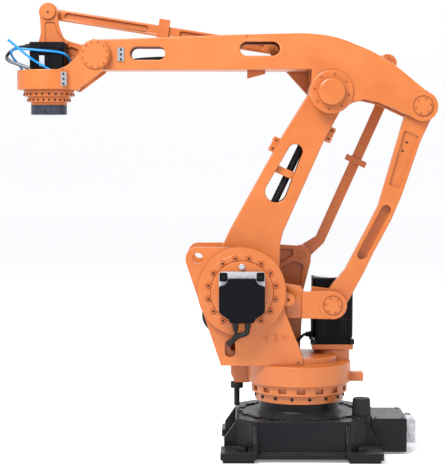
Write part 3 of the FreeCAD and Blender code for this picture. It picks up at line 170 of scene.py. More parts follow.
# A metal with fine marks from its making; tone and marks are set for each finish.
def workedMetal(name, dark, light, roughness, grain, metallic=1.0, depth=0.12):
    material, tree = newMaterial(name)
    place = addNode(tree, "ShaderNodeTexCoord")
    marks = grainNoise(tree, place, grain, 4.0, 0.6)
    tone = rampBetween(tree, (marks, "Fac"), [(0.3, srgb(dark)), (0.7, srgb(light))])
    bump = bumpFrom(tree, (marks, "Fac"), depth, 0.001)
    gloss = mappedRange(tree, (marks, "Fac"), 0.0, 1.0, roughness - 0.07, roughness + 0.07)
    shader = addNode(tree, "ShaderNodeBsdfPrincipled", inputs={
        "Base Color": (tone, 0), "Roughness": (gloss, 0), "Normal": (bump, 0),
        "Metallic": metallic})
    finishMaterial(tree, shader)
    return material


# Rubber, nylon and satin paint: matt, finely grained, slightly worn by handling.
def mouldedPolymer(name, colour, worn, roughness, grain=300.0, transmission=0.0, specular=0.3):
    material, tree = newMaterial(name)
    place = addNode(tree, "ShaderNodeTexCoord")
    wear = grainNoise(tree, place, 30.0, 4.0)
    tone = rampBetween(tree, (wear, "Fac"), [(0.35, srgb(colour)), (0.75, srgb(worn))])
    bump = bumpFrom(tree, (grainNoise(tree, place, grain, 2.0), "Fac"), 0.12, 0.001)
    shader = addNode(tree, "ShaderNodeBsdfPrincipled", inputs={
        "Base Color": (tone, 0), "Roughness": roughness, "Normal": (bump, 0), "IOR": 1.5,
        "Specular IOR Level": specular, "Transmission Weight": transmission})
    finishMaterial(tree, shader)
    return material


orangeEnamel = enamelOnCasting()
blackCasting = blackEnamel()
zincPlate = workedMetal("zincPlatedSteel", "#8E8F92", "#B9BABD", 0.34, 90.0)
blackOxide = workedMetal("blackOxideSteel", "#101012", "#202024", 0.45, 140.0, 0.5)
dieCast = workedMetal("dieCastZinc", "#A5A7AD", "#C6C8CE", 0.45, 70.0, 0.55)
blackRubber = mouldedPolymer("blackRubber", "#0E0E10", "#1C1C1E", 0.66)
blueTube = mouldedPolymer("bluePolyurethane", "#0F7FCB", "#2C97E0", 0.24, 120.0, 0.12)
tagAluminium = workedMetal("brushedTag", "#7F8186", "#989A9F", 0.5, 260.0, 0.4)
# A darker orange enamel that paints shade onto the spot faces round screws and onto the cast axis mark.
paintedShadeOrange = mouldedPolymer("wornOrangeEnamel", "#A9501F", "#B95A26", 0.5)
satinBlack = mouldedPolymer("satinBlackPaint", "#07080C", "#0B0C11", 0.5, specular=0.09)
wovenSheath = workedMetal("tinnedBraid", "#33353A", "#85888E", 0.4, 900.0, 0.8, 0.6)
phosphated = workedMetal("phosphatedSteel", "#2B303B", "#434B59", 0.4, 60.0, 0.6)
whiteNylon = mouldedPolymer("whiteNylon", "#A9ACB0", "#C2C4C6", 0.5)
slotMaterials = {"orange_paint": orangeEnamel, "black_casting": blackCasting,
                 "zinc_steel": zincPlate, "grey_metal": dieCast, "black_rubber": blackRubber,
                 "blue_hose": blueTube}
print("materials made")


# Shells are pairs of a vertex array and a face list, joined before they become one object.
def joinedShells(shells):
    vertices, faces, count = [], [], 0
    for points, loops in shells:
        vertices.append(points)
        faces += [[index + count for index in loop] for loop in loops]
        count += len(points)
    return np.vstack(vertices), faces


def placedShell(shell, origin, normal, along=None):
    # local Z goes to normal, local X near to along
    normal = np.array(normal, float) / np.linalg.norm(normal)
    if along is None:
        along = zAxis if abs(normal[2]) < 0.9 else xAxis
    hint = np.array(along, float)
    across = hint - normal * hint.dot(normal)
    across /= np.linalg.norm(across)
    turn = np.column_stack([across, np.cross(normal, across), normal])
    return shell[0] @ turn.T + np.array(origin, float), shell[1]


def gridFaces(rows, columns, wrap):
    # quads of a rows by columns grid, its columns wrapped into a ring when asked
    across = columns if wrap else columns - 1
    row, column = np.meshgrid(np.arange(rows - 1), np.arange(across), indexing="ij")
    here = row * columns + column
    beside = row * columns + (column + 1) % columns
    return np.stack([here, beside, beside + columns, here + columns], -1).reshape(-1, 4).tolist()


def closedFaces(rows, columns):
    # a wrapped grid with a face over each of its ends
    last = (rows - 1) * columns
    ends = [list(range(columns))[::-1], list(range(last, last + columns))]
    return gridFaces(rows, columns, True) + ends


def repeatedShell(shell, places, normals, along=None):
    # one shell placed many times; a single normal serves for all
    normals = np.broadcast_to(normals, np.shape(places))
    return joinedShells([placedShell(shell, place, normal, along)
                         for place, normal in zip(places, normals)])


def turnedShell(profile, steps=32, sides=None):
    # a profile of (radius, height) carried round Z; rows named in sides are drawn as polygons
    profile = np.array(profile, float)
    angle = np.arange(steps) * 2 * np.pi / steps
    ring = np.ones((len(profile), steps))
    for row, count in (sides or {}).items():
        sector = 2 * np.pi / count
        ring[row] = np.cos(sector / 2) / np.cos(angle % sector - sector / 2)
    radius = profile[:, :1] * ring
    points = np.stack([radius * np.cos(angle), radius * np.sin(angle),
                       np.repeat(profile[:, 1:], steps, 1)], -1).reshape(-1, 3)
    return points, closedFaces(len(profile), steps)


def slabShell(outline, low, high, chamfer=0.0):
    # a closed outline in local X and Y between two heights, its edges drawn in by the chamfer
    outline = np.array(outline, float)
    ahead = np.roll(outline, -1, 0) - outline
    ahead /= np.linalg.norm(ahead, axis=1)[:, None]
    leftAhead = np.column_stack([-ahead[:, 1], ahead[:, 0]])
    leftBehind = np.roll(leftAhead, 1, 0)
    inward = leftBehind + leftAhead
    inward /= np.linalg.norm(inward, axis=1)[:, None]
    # a sharp corner would be drawn in too far, so its length is limited
    inward /= np.maximum(0.35, (inward * leftBehind).sum(1))[:, None]
    drawn = outline + inward * chamfer
    rows = [(drawn, low), (outline, low + chamfer), (outline, high - chamfer), (drawn, high)]
    points = np.vstack([np.column_stack([ring, np.full(len(ring), height)])
                        for ring, height in rows])
    return points, closedFaces(len(rows), len(outline))


def roundedBox(sizeX, sizeY, radius, steps=5):
    # corners of a rounded rectangle, anticlockwise
    angle = np.linspace(0, np.pi / 2, steps)
    corner = np.column_stack([np.cos(angle), np.sin(angle)]) * radius
    points = []
    for quarter, signs in enumerate([(1, 1), (-1, 1), (-1, -1), (1, -1)]):
        turn = quarter * np.pi / 2
        spin = np.array([[np.cos(turn), np.sin(turn)], [-np.sin(turn), np.cos(turn)]])
        middle = np.array(signs) * [sizeX / 2 - radius, sizeY / 2 - radius]
        points.append(corner @ spin + middle)
    return np.vstack(points)


def mirroredOutline(right):
    # the right half of an outline, from bottom to top, and its mirror image on the left
    return right + [(-across, upward) for across, upward in right[::-1]]


def addPiece(name, shell, material, body, smoothAngle=35, hides=()):
    points, faces = shell
    mesh = bpy.data.meshes.new(name)
    mesh.from_pydata(points.tolist(), [], faces)
    tidy = bmesh.new()
    tidy.from_mesh(mesh)
    bmesh.ops.remove_doubles(tidy, verts=tidy.verts, dist=1e-6)
    bmesh.ops.dissolve_degenerate(tidy, edges=tidy.edges, dist=1e-6)
    bmesh.ops.recalc_face_normals(tidy, faces=tidy.faces)
    tidy.to_mesh(mesh)
    tidy.free()
    mesh.materials.append(material)
    mesh.shade_smooth()
    mesh.set_sharp_from_angle(angle=math.radians(smoothAngle))
    piece = bpy.data.objects.new(name, mesh)
    bpy.context.scene.collection.objects.link(piece)
    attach(piece, body)
    if hides:
        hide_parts(*hides)
    return piece


# Castings keep the frame's shape and gain the small round on every edge that a mould leaves.
edgeRounds = {
    "base_casting": 0.006, "cable_box": 0.005, "connector_hood": 0.006, "swivel_ring": 0.003,
    "turret_drum": 0.006, "swivel_motor_flange": 0.003, "swivel_motor": 0.004,
    "crank_side_plate": 0.0022, "rod_side_plate": 0.0022, "turret_frame": 0.004,
    "conduit_bracket": 0.004, "lower_arm": 0.007, "arm_conduit_clamp": 0.003, "crank": 0.005,
    "drive_rod": 0.005, "upper_arm": 0.007, "elbow_cover": 0.004, "hose_hook": 0.003,
    "elbow_plate": 0.005, "top_rod": 0.004, "top_rod_clamp": 0.002, "rear_rod": 0.006,
    "rear_rod_clamp": 0.002, "wrist_housing": 0.005, "wrist_motor": 0.003,
    "wrist_output": 0.002, "tool_flange": 0.002,
    "crank_pin": 0.003, "rear_pin": 0.003,
    "wrist_pin": 0.003, "front_link_pin": 0.002, "rear_link_pin": 0.002, "turret_link_pin": 0.002,
    "wrist_link_pin": 0.002, "stop_bumper": 0.006, "conduit_gland": 0.003,
    "swivel_motor_cap": 0.005, "elbow_shaft": 0.003,
}
slotOf = {part["node"]: part["material_slot"] for part in frame["record"]["subparts"]}
# Nodes whose finish differs from the usual one of their slot; the pins are painted, for one.
ownFinish = {"swivel_motor": satinBlack, "wrist_motor": satinBlack,
             "arm_side_tag": tagAluminium, "tool_flange": phosphated}
for node in frame["nodes"]:
    if node.endswith("_pin"):
        ownFinish[node] = orangeEnamel
    elif node.startswith("anchor_bolt"):
        ownFinish[node] = blackOxide

# An edge is sharp, and rounded, where it turns by more than this many degrees.
usualSharpAngle, sharpAngle = 32, {"base_casting": 30}
# The roof of the upper arm meets its walls at a shallow angle, and its long edges are crisp too.
crispEdges = {"upper_arm": {"length": 0.12, "angle": math.radians(3)}}


def roundedCasting(node, width):
    source = frame["nodes"][node]
    mesh = source.data.copy()
    mesh.name = node + "Finished"
    tidy = bmesh.new()
    tidy.from_mesh(mesh)
    bmesh.ops.remove_doubles(tidy, verts=tidy.verts, dist=2e-5)
    bmesh.ops.dissolve_limit(tidy, angle_limit=math.radians(0.5), verts=tidy.verts,
                             edges=tidy.edges)
    tidy.to_mesh(mesh)
    tidy.free()
    mesh.materials.clear()
    mesh.materials.append(ownFinish.get(node, slotMaterials[slotOf[node]]))
    mesh.shade_smooth()
    sharp = math.radians(sharpAngle.get(node, usualSharpAngle))
    mesh.set_sharp_from_angle(angle=sharp)
    if node in crispEdges:
        crisp = bmesh.new()
        crisp.from_mesh(mesh)
        for edge in crisp.edges:
            if (edge.calc_length() > crispEdges[node]["length"]
                    and edge.calc_face_angle(0) > crispEdges[node]["angle"]):
                edge.smooth = False
        crisp.to_mesh(mesh)
        crisp.free()
    piece = bpy.data.objects.new(node + "Finished", mesh)
    bpy.context.scene.collection.objects.link(piece)
    bevel = piece.modifiers.new("edgeRound", "BEVEL")
    bevel.width = width
    bevel.segments = 2
    bevel.limit_method = "ANGLE"
    bevel.angle_limit = sharp
    bevel.use_clamp_overlap = False
    bevel.miter_outer = "MITER_ARC"
    bevel.harden_normals = True
    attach(piece, bodyOf[node])
    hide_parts(node)
    return piece


for node, width in edgeRounds.items():
    roundedCasting(node, width)
for node, part in frame["nodes"].items():
    if node not in edgeRounds:
        part.data.materials.clear()
        part.data.materials.append(ownFinish.get(node, slotMaterials[slotOf[node]]))
print("castings rounded:", len(edgeRounds))


# Shared small shapes: screws, bent tubes and drawn lines.
def ringPlaces(centre, normal, radius, count, offset=0.0):
    # points on a circle; the angle runs from X towards Z, or towards Y on a level circle
    angle = np.radians(offset) + np.arange(count) * 2 * np.pi / count
    upward = zAxis if abs(normal[2]) < 0.5 else yAxis
    spokes = np.outer(np.cos(angle), xAxis) + np.outer(np.sin(angle), upward)
    return np.array(centre) + radius * spokes


def addScrews(name, body, places, normals, radius, height, finish):
    # socket cap screws: a chamfered head, and the dark socket sunk into it; the socket's black oxide also paints
    # the shade inside the shallow hole
    head = turnedShell([(radius, 0), (radius, 0.78 * height), (0.86 * radius, height),
                        (0.64 * radius, height), (0.62 * radius, 0.35 * height)], 24, {3: 6, 4: 6})
    socket = turnedShell([(0.62 * radius, 0.3 * height), (0.62 * radius, 0.42 * height)], 24,
                         {0: 6, 1: 6})
    addPiece(name, repeatedShell(head, places, normals), finish, body)
    addPiece(name + "Sockets", repeatedShell(socket, places, normals), blackOxide, body)


def smoothRoute(points, count=64):
    # a Catmull-Rom curve through the points, sampled evenly along its parameter
    points = np.array(points, float)
    padded = np.vstack([2 * points[0] - points[1], points, 2 * points[-1] - points[-2]])
    place = np.linspace(0, len(points) - 1, count)
    span = np.minimum(place.astype(int), len(points) - 2)
    share = (place - span)[:, None]
    before, start, end, after = (padded[span + step] for step in range(4))
    return 0.5 * (2 * start + (end - before) * share
                  + (2 * before - 5 * start + 4 * end - after) * share ** 2
                  + (3 * start - before - 3 * end + after) * share ** 3)


def tubeShell(route, radius, sides=16):
    # a tube along a route; radius is a number or one value per point
    tangent = np.gradient(route, axis=0)
    tangent /= np.linalg.norm(tangent, axis=1)[:, None]
    # a fixed direction that no route runs along keeps the section from flipping
    hint = np.array([0.31, 0.52, 0.8])
    first = np.cross(tangent, hint)
    first /= np.linalg.norm(first, axis=1)[:, None]
    second = np.cross(tangent, first)
    angle = np.arange(sides) * 2 * np.pi / sides
    size = np.broadcast_to(np.array(radius, float), len(route))[:, None, None]
    rim = first[:, None] * np.cos(angle)[:, None] + second[:, None] * np.sin(angle)[:, None]
    return (route[:, None] + rim * size).reshape(-1, 3), closedFaces(len(route), sides)


def strokeShell(line, width, height):
    # a raised line of even width, drawn in local X and Y
    line = np.array(line, float)
    along = np.gradient(line, axis=0)
    along /= np.linalg.norm(along, axis=1)[:, None]
    across = np.column_stack([-along[:, 1], along[:, 0]]) * width / 2
    return slabShell(np.vstack([line + across, (line - across)[::-1]])[::-1], 0, height)


nearSide, farSide = -yAxis, yAxis

# Drive rings: both side plates carry one, bolted round the gearbox.
driveRing = {"screwCircle": 0.194, "screws": 16, "firstAngle": 11.25, "headRadius": 0.0125,
             "headHeight": 0.007, "faceOffset": 0.2566,
             "profile": [
                 (0.217, -0.016), (0.217, -0.0066), (0.2155, -0.003), (0.212, -0.0006),
                 (0.206, 0), (0.18, 0), (0.179, -0.003), (0.1765, -0.003), (0.1765, 0.005),
                 (0.175, 0.009), (0.171, 0.0105)],
             "spotFace": [(0.0195, 0), (0.0185, 0.0014), (0.0155, 0.0016), (0.015, 0.0004)]}
for ringName, side in (("crankSide", nearSide), ("rodSide", farSide)):
    ringSeat = armPivot * [1, 0, 1] + side * driveRing["faceOffset"]
    spots = ringPlaces(ringSeat, side, driveRing["screwCircle"], driveRing["screws"],
                       driveRing["firstAngle"])
    addPiece(ringName + "Ring", placedShell(turnedShell(driveRing["profile"], 96), ringSeat, side),
             orangeEnamel, "turret")
    # the spot faces are drawn in the darker orange as painted shade round each screw
    addPiece(ringName + "SpotFaces",
             repeatedShell(turnedShell(driveRing["spotFace"], 24), spots, side), paintedShadeOrange,
             "turret")
    addScrews(ringName + "RingScrews", "turret", spots, side, driveRing["headRadius"],
              driveRing["headHeight"], orangeEnamel)

# Turned faces: the elbow cover's rounded rims, and the low ring round each pin of the drive rod.
rearPivot = crankEnd + elbow - armPivot
pinRing = [(0.0845, -0.002), (0.0845, 0.002), (0.083, 0.0035), (0.061, 0.0035),
           (0.060, -0.0005)]
turnedFaces = {
    "elbowCoverFace": {"body": "upper_arm", "centre": elbow, "face": -0.187, "profile": [
        (0.1237, -0.011), (0.1237, -0.005), (0.1218, -0.001), (0.1175, 0.001), (0.112, 0.0014),
        (0.077, 0.0014), (0.0765, 0.004), (0.0765, 0.036), (0.0742, 0.0425), (0.069, 0.0462),
        (0.062, 0.047)]},
    "rearBossRing": {"body": "upper_arm", "centre": rearPivot, "face": -0.175, "profile": pinRing},
    "crankBossRing": {"body": "crank", "centre": crankEnd, "face": -0.178, "profile": [
        (radius - 0.005, height) for radius, height in pinRing]},
}
for name, face in turnedFaces.items():
    faceSeat = face["centre"] * [1, 0, 1] + yAxis * face["face"]
    addPiece(name, placedShell(turnedShell(face["profile"], 80), faceSeat, nearSide),
             orangeEnamel, face["body"])

# Cover and pin caps: each is held by its own circle of screws.
wristPinCircle = {"body": "wrist", "centre": wristPivot, "circle": 0.070, "count": 12,
                  "first": 15, "radius": 0.0052}
rearPinCircle = {"body": "upper_arm", "centre": rearPivot, "circle": 0.043, "count": 6,
                 "first": 10, "radius": 0.0058}
capScrews = {
    "elbowCoverScrews": {"body": "upper_arm", "centre": elbow, "face": -0.1884, "circle": 0.100,
                         "count": 8, "first": 35, "radius": 0.0062},
    "wristCapScrews": {**wristPinCircle, "face": nodeBox("wrist_pin")[0][1]},
    "wristCapFarScrews": {**wristPinCircle, "face": nodeBox("wrist_pin")[1][1]},
    "rearPinScrews": {**rearPinCircle, "face": nodeBox("rear_pin")[0][1]},
    "rearPinFarScrews": {**rearPinCircle, "face": nodeBox("rear_pin")[1][1]},
    "crankPinScrews": {"body": "crank_pin", "centre": crankEnd, "face": nodeBox("crank_pin")[0][1],
                       "circle": 0.043, "count": 6, "first": 50, "radius": 0.0058},
    "turretLinkScrew": {"body": "turret", "centre": rearLink,
                        "face": nodeBox("turret_link_pin")[1][1], "circle": 0.0, "count": 1,
                        "first": 0, "radius": 0.011},
}
capHeadHeight = 0.004
for name, cap in capScrews.items():
    side = nearSide if cap["face"] < 0 else farSide
    spots = ringPlaces(cap["centre"] * [1, 0, 1] + yAxis * cap["face"], side, cap["circle"],
                       cap["count"], cap["first"])
    addScrews(name, cap["body"], spots, side, cap["radius"], capHeadHeight, orangeEnamel)
print("cap screws placed")

# Swivel ring: a screw stands between every two pockets, its socket turned outwards.
swivelRing = {"radius": 0.2575, "height": 0.326, "count": 16, "first": 11.25,
              "headRadius": 0.009, "headHeight": 0.007}
ringMiddle = np.array([0, 0, swivelRing["height"]])
spots = ringPlaces(ringMiddle, zAxis, swivelRing["radius"], swivelRing["count"],
                   swivelRing["first"])
addScrews("swivelRingScrews", bodyOf["swivel_ring"], spots,
          (spots - ringMiddle) / swivelRing["radius"], swivelRing["headRadius"],
          swivelRing["headHeight"], blackOxide)

# Wrist output: two stepped rings, each with its row of small screws.
outputRows = {"upperRow": {"radius": 0.1447, "height": 2.0605},
              "lowerRow": {"radius": 0.1237, "height": 2.028}}
outputScrew = {"count": 24, "first": 7.5, "headRadius": 0.0058, "headHeight": 0.003}
for name, row in outputRows.items():
    rowMiddle = np.array([toolAxis[0], 0, row["height"]])
    spots = ringPlaces(rowMiddle, zAxis, row["radius"], outputScrew["count"],
                       outputScrew["first"])
    addScrews("output" + name, "wrist", spots, (spots - rowMiddle) / row["radius"],
              outputScrew["headRadius"], outputScrew["headHeight"], blackOxide)
flangeDowel = {"place": (toolAxis[0] - 0.012, -0.1034, 1.972), "radius": 0.006, "height": 0.001}
addScrews("flangeDowel", "tool", [flangeDowel["place"]], nearSide, flangeDowel["radius"],
          flangeDowel["height"], blackOxide)
print("rings done")

# Name tags: bare aluminium plates, each held by three black screws.
tagLow, tagHigh = nodeBox("arm_side_tag")
tags = {"armTag": {"body": "upper_arm", "face": tagLow[1], "centre": (tagLow + tagHigh) / 2,
                   "plate": False},
        "wristTag": {"body": "wrist", "face": -0.159, "centre": wristPivot + [-0.177, 0, -0.139],
                     "plate": True}}
tagPlate = {"size": (0.036, 0.078, 0.004), "thickness": 0.005, "seatSize": (0.044, 0.086, 0.005),
            "seatDepth": 0.034, "screws": (-0.028, 0, 0.028), "headRadius": 0.0062,
            "headHeight": 0.003}
for name, tag in tags.items():
    tagFace = tag["centre"] * [1, 0, 1] + yAxis * tag["face"]
    if tag["plate"]:
        tagSeat = tagFace + yAxis * tagPlate["thickness"]
        block = slabShell(roundedBox(*tagPlate["seatSize"]), -tagPlate["seatDepth"], 0, 0.0015)
        plate = slabShell(roundedBox(*tagPlate["size"]), -0.001, tagPlate["thickness"], 0.0008)
        addPiece(name + "Seat", placedShell(block, tagSeat, nearSide, xAxis), orangeEnamel,
                 tag["body"])
        addPiece(name, placedShell(plate, tagSeat, nearSide, xAxis), tagAluminium, tag["body"])
    addScrews(name + "Screws", tag["body"], tagFace + np.outer(tagPlate["screws"], zAxis),
              nearSide, tagPlate["headRadius"], tagPlate["headHeight"], blackOxide)

# Axis mark: two arrows and the axis number, cast into the side plate.
axisMark = {"place": (-0.146, -0.2252, 0.676), "stroke": 0.0042, "relief": 0.0012,
            "bowWidth": 0.0115, "bowHeight": 0.0105,
            "arrow": [(0.047, 0.013), (0.072, 0.0), (0.047, -0.013)],
            "arrowTail": [(0.044, 0.0165), (0.044, -0.0165)]}
bow = np.radians(np.linspace(150, -90, 14))
upperBow = np.column_stack([np.cos(bow) * axisMark["bowWidth"],
                            (1 + np.sin(bow)) * axisMark["bowHeight"]])
arrow, arrowTail = np.array(axisMark["arrow"]), np.array(axisMark["arrowTail"])
markLines = [upperBow, upperBow[::-1] * [1, -1], arrow, arrow * [-1, 1],
             arrowTail, arrowTail * [-1, 1]]
# the strokes are drawn in the darker orange as painted shade in the cast relief
addPiece("axisMark", joinedShells([placedShell(
    strokeShell(line, axisMark["stroke"], axisMark["relief"]), axisMark["place"], nearSide, xAxis)
    for line in markLines]), paintedShadeOrange, "turret")
print("marks done")

# Drive motors: a die-cast flange, a black cover with notched corners, and two connectors below.
driveMotor = {
    "cover": mirroredOutline([
        (0.064, -0.165), (0.078, -0.142), (0.090, -0.136), (0.100, -0.127), (0.112, -0.122),
        (0.119, -0.113), (0.129, -0.104), (0.129, 0.036), (0.121, 0.041), (0.098, 0.048),
        (0.086, 0.058), (0.079, 0.072), (0.076, 0.084)]),
    "flange": mirroredOutline([
        (0.064, -0.163), (0.099, -0.123), (0.129, -0.100), (0.129, 0.103), (0.124, 0.114),
        (0.113, 0.119)]),
    "coverDepth": 0.030, "corners": (-0.104, 0.104), "cornerHeight": 0.092,
    "padSize": (0.044, 0.050, 0.009), "padDepth": (0.034, 0.018), "headRadius": 0.0105,
    "headHeight": 0.010, "stubDepth": 0.022, "stubs": (-0.036, 0.031), "stubHeight": -0.160,
    "stub": [(0.0155, 0), (0.0165, 0.003), (0.0165, 0.034), (0.0145, 0.036), (0.0145, 0.050),
             (0.012, 0.053)],
    "ventHeight": 0.144, "ventDepth": 0.022,
    "vent": [(0.017, -0.002), (0.017, 0.010), (0.0145, 0.012), (0.0105, 0.012), (0.0105, 0.024),
             (0.0085, 0.026)],
}
# The motor on the near side has its leads; each route starts below a connector.
motorLeads = {
    "Cable": {"radius": 0.0155, "route": [
        (0.031, 0, -0.208), (0.020, 0, -0.226), (-0.020, 0.006, -0.240),
        (-0.052, 0.026, -0.268), (-0.066, 0.070, -0.292), (-0.067, 0.130, -0.303)]},
    "SecondCable": {"radius": 0.009, "route": [
        (-0.036, 0, -0.208), (-0.034, 0.004, -0.226), (-0.046, 0.012, -0.250),
        (-0.062, 0.060, -0.282), (-0.062, 0.120, -0.292)]},
}
for node, side in (("crank_drive_motor", nearSide), ("arm_drive_motor", farSide)):
    low, high = nodeBox(node)
    inner, outer = (high[1], low[1]) if side[1] < 0 else (low[1], high[1])
    depth = abs(outer - inner)
    coverBase = depth - driveMotor["coverDepth"]
    seat = armPivot * [1, 0, 1] + yAxis * inner
    across = xAxis * -side[1]
    flange = slabShell(driveMotor["flange"], 0, coverBase, 0.002)
    cover = slabShell(driveMotor["cover"], coverBase - 0.001, depth, 0.004)
    addPiece(node + "Flange", placedShell(flange, seat, side, across), dieCast, "turret",
             hides=(node,))
    addPiece(node + "Cover", placedShell(cover, seat, side, across), satinBlack, "turret")
    padBase, padTop = depth - np.array(driveMotor["padDepth"])
    corners = (seat + zAxis * driveMotor["cornerHeight"]
               + np.outer(driveMotor["corners"], xAxis))
    pad = slabShell(roundedBox(*driveMotor["padSize"]), padBase, padTop, 0.002)
    addPiece(node + "CornerPads", repeatedShell(pad, corners, side, xAxis), satinBlack, "turret")
    addScrews(node + "CornerScrews", "turret", corners + side * padTop, side,
              driveMotor["headRadius"], driveMotor["headHeight"], blackOxide)
    exits = seat + side * (depth - driveMotor["stubDepth"])
    stubPlaces = (exits + zAxis * driveMotor["stubHeight"]
                  + np.outer(driveMotor["stubs"], xAxis))
    addPiece(node + "Connectors",
             repeatedShell(turnedShell(driveMotor["stub"], 28), stubPlaces, -zAxis), blackRubber,
             "turret")
    ventPlace = seat + zAxis * driveMotor["ventHeight"] + side * driveMotor["ventDepth"]
    addPiece(node + "Vent", placedShell(turnedShell(driveMotor["vent"], 24), ventPlace, side),
             dieCast, "turret")
    if side[1] < 0:
        for leadName, lead in motorLeads.items():
            addPiece(node + leadName,
                     tubeShell(smoothRoute(exits + np.array(lead["route"])), lead["radius"]),
                     blackRubber, "turret")
print("drive motors done")

# Swivel motor: screws at the foot, cooling ribs down its sides, and a plug with its own lead.
swivelLow, swivelHigh = nodeBox("swivel_motor")
swivelMotor = {
    "footInset": 0.004, "footSize": (0.030, 0.030, 0.008), "footHeight": 0.030,
    "headRadius": 0.009, "headHeight": 0.008,
    "ribPlaces": (-0.075, -0.060, -0.045, 0.045, 0.060, 0.075), "ribWidth": 0.006,
    "ribHeight": 0.0035, "ribStart": 0.045, "ribEnd": 0.300, "plugHeight": 0.045,
    "leadRadius": 0.0085,
    "plug": [(0.019, -0.002), (0.019, 0.016), (0.0155, 0.019), (0.0155, 0.034), (0.012, 0.038)],
    "lead": [(0.030, 0, 0), (0.048, 0.004, 0.004), (0.080, 0.020, 0.030), (0.120, 0.030, 0.050),
             (0.155, 0.034, 0.060), (0.185, 0.034, 0.094)],
}
motorAxis = (swivelLow + swivelHigh) / 2 * [1, 1, 0]
halfWidth = (swivelHigh - swivelLow)[0] / 2
footReach = halfWidth - swivelMotor["footInset"]
feet = np.array([motorAxis + [signX * footReach, signY * footReach, swivelLow[2]]
                 for signX in (-1, 1) for signY in (-1, 1)])
foot = slabShell(roundedBox(*swivelMotor["footSize"]), 0, swivelMotor["footHeight"], 0.003)
addPiece("swivelMotorFeet", repeatedShell(foot, feet, zAxis), blackCasting, "turret")
addScrews("swivelMotorScrews", "turret", feet + zAxis * swivelMotor["footHeight"], zAxis,
          swivelMotor["headRadius"], swivelMotor["headHeight"], zincPlate)
ribRun = swivelMotor["ribEnd"] - swivelMotor["ribStart"]
ribMiddle = motorAxis + zAxis * (swivelLow[2] + swivelMotor["ribStart"] + ribRun / 2)
rib = slabShell(roundedBox(swivelMotor["ribWidth"], ribRun, 0.0025, 3), -0.001,
                swivelMotor["ribHeight"], 0.001)
ribs = [placedShell(rib, ribMiddle + side * halfWidth + across * place, side, across)
        for place in swivelMotor["ribPlaces"]
        for side, across in ((nearSide, xAxis), (farSide, xAxis), (xAxis, yAxis), (-xAxis, yAxis))]
addPiece("swivelMotorRibs", joinedShells(ribs), blackCasting, "turret")
plugSpot = np.array([swivelLow[0], motorAxis[1], swivelLow[2] + swivelMotor["plugHeight"]])
addPiece("swivelMotorPlug", placedShell(turnedShell(swivelMotor["plug"], 28), plugSpot, -xAxis),
         blackRubber, "turret")
leadRoute = smoothRoute(plugSpot - np.array(swivelMotor["lead"]))
addPiece("swivelMotorLead", tubeShell(leadRoute, swivelMotor["leadRadius"]), blackRubber,
         "turret")
print("swivel motor done")


def walkedLengths(line):
    # the distance walked along a line at each of its points
    return np.concatenate([[0], np.cumsum(np.linalg.norm(np.diff(line, axis=0), axis=1))])


# Wrist motor: a toothed heat-sink cap over a plain case, with cooling ribs and a blank label.
capLow, capHigh = nodeBox("wrist_motor_cap")
heatSink = {"teeth": 76, "toothDepth": 0.0032, "cornerRadius": 0.020, "screwReach": 0.074,
            "headRadius": 0.007, "headHeight": 0.001}
square = roundedBox(*(capHigh - capLow)[:2], heatSink["cornerRadius"], 9)
closed = np.vstack([square, square[:1]])
around = walkedLengths(closed)
stations = np.arange(heatSink["teeth"] * 4) / (heatSink["teeth"] * 4) * around[-1]
rim = np.column_stack([np.interp(stations, around, closed[:, axis]) for axis in (0, 1)])
outward = rim / np.linalg.norm(rim, axis=1)[:, None]
rim -= outward * (heatSink["toothDepth"] * ((np.arange(len(rim)) % 4) >= 2))[:, None]
capAxis = (capLow + capHigh) / 2 * [1, 1, 0]
addPiece("wristHeatSink", placedShell(slabShell(rim, 0, capHigh[2] - capLow[2], 0.0015),
                                      capAxis + zAxis * capLow[2], zAxis, xAxis),
         blackCasting, "wrist", hides=("wrist_motor_cap",))
topScrews = [capAxis + [signX * heatSink["screwReach"], signY * heatSink["screwReach"],
                        capHigh[2] - heatSink["headHeight"]]
             for signX in (-1, 1) for signY in (-1, 1)]
addScrews("wristMotorScrews", "wrist", topScrews, zAxis, heatSink["headRadius"],
          heatSink["headHeight"], zincPlate)
wristRibs = {"count": 7, "first": 0.030, "pitch": 0.0095, "reach": 0.0998, "middle": 0.140,
             "width": 0.0045, "length": 0.110, "height": 0.0022}
ribMiddle = capAxis + zAxis * (nodeBox("wrist_motor")[0][2] + wristRibs["middle"])
rib = slabShell(roundedBox(wristRibs["width"], wristRibs["length"], 0.002, 3), -0.001,
                wristRibs["height"], 0.0007)
ribs = [placedShell(rib, ribMiddle + side * wristRibs["reach"]
                    + across * (wristRibs["first"] + number * wristRibs["pitch"]), side, across)
        for number in range(wristRibs["count"])
        for side, across in ((nearSide, xAxis), (farSide, xAxis), (xAxis, yAxis))]
addPiece("wristMotorRibs", joinedShells(ribs), blackCasting, "wrist")
blankLabel = {"size": (0.030, 0.062, 0.002), "thickness": 0.0006,
              "place": (toolAxis[0] - 0.027, -0.1, 2.250)}
addPiece("wristMotorLabel", placedShell(
    slabShell(roundedBox(*blankLabel["size"]), -0.001, blankLabel["thickness"]),
    blankLabel["place"], nearSide, xAxis), whiteNylon, "wrist")
print("wrist motor done")

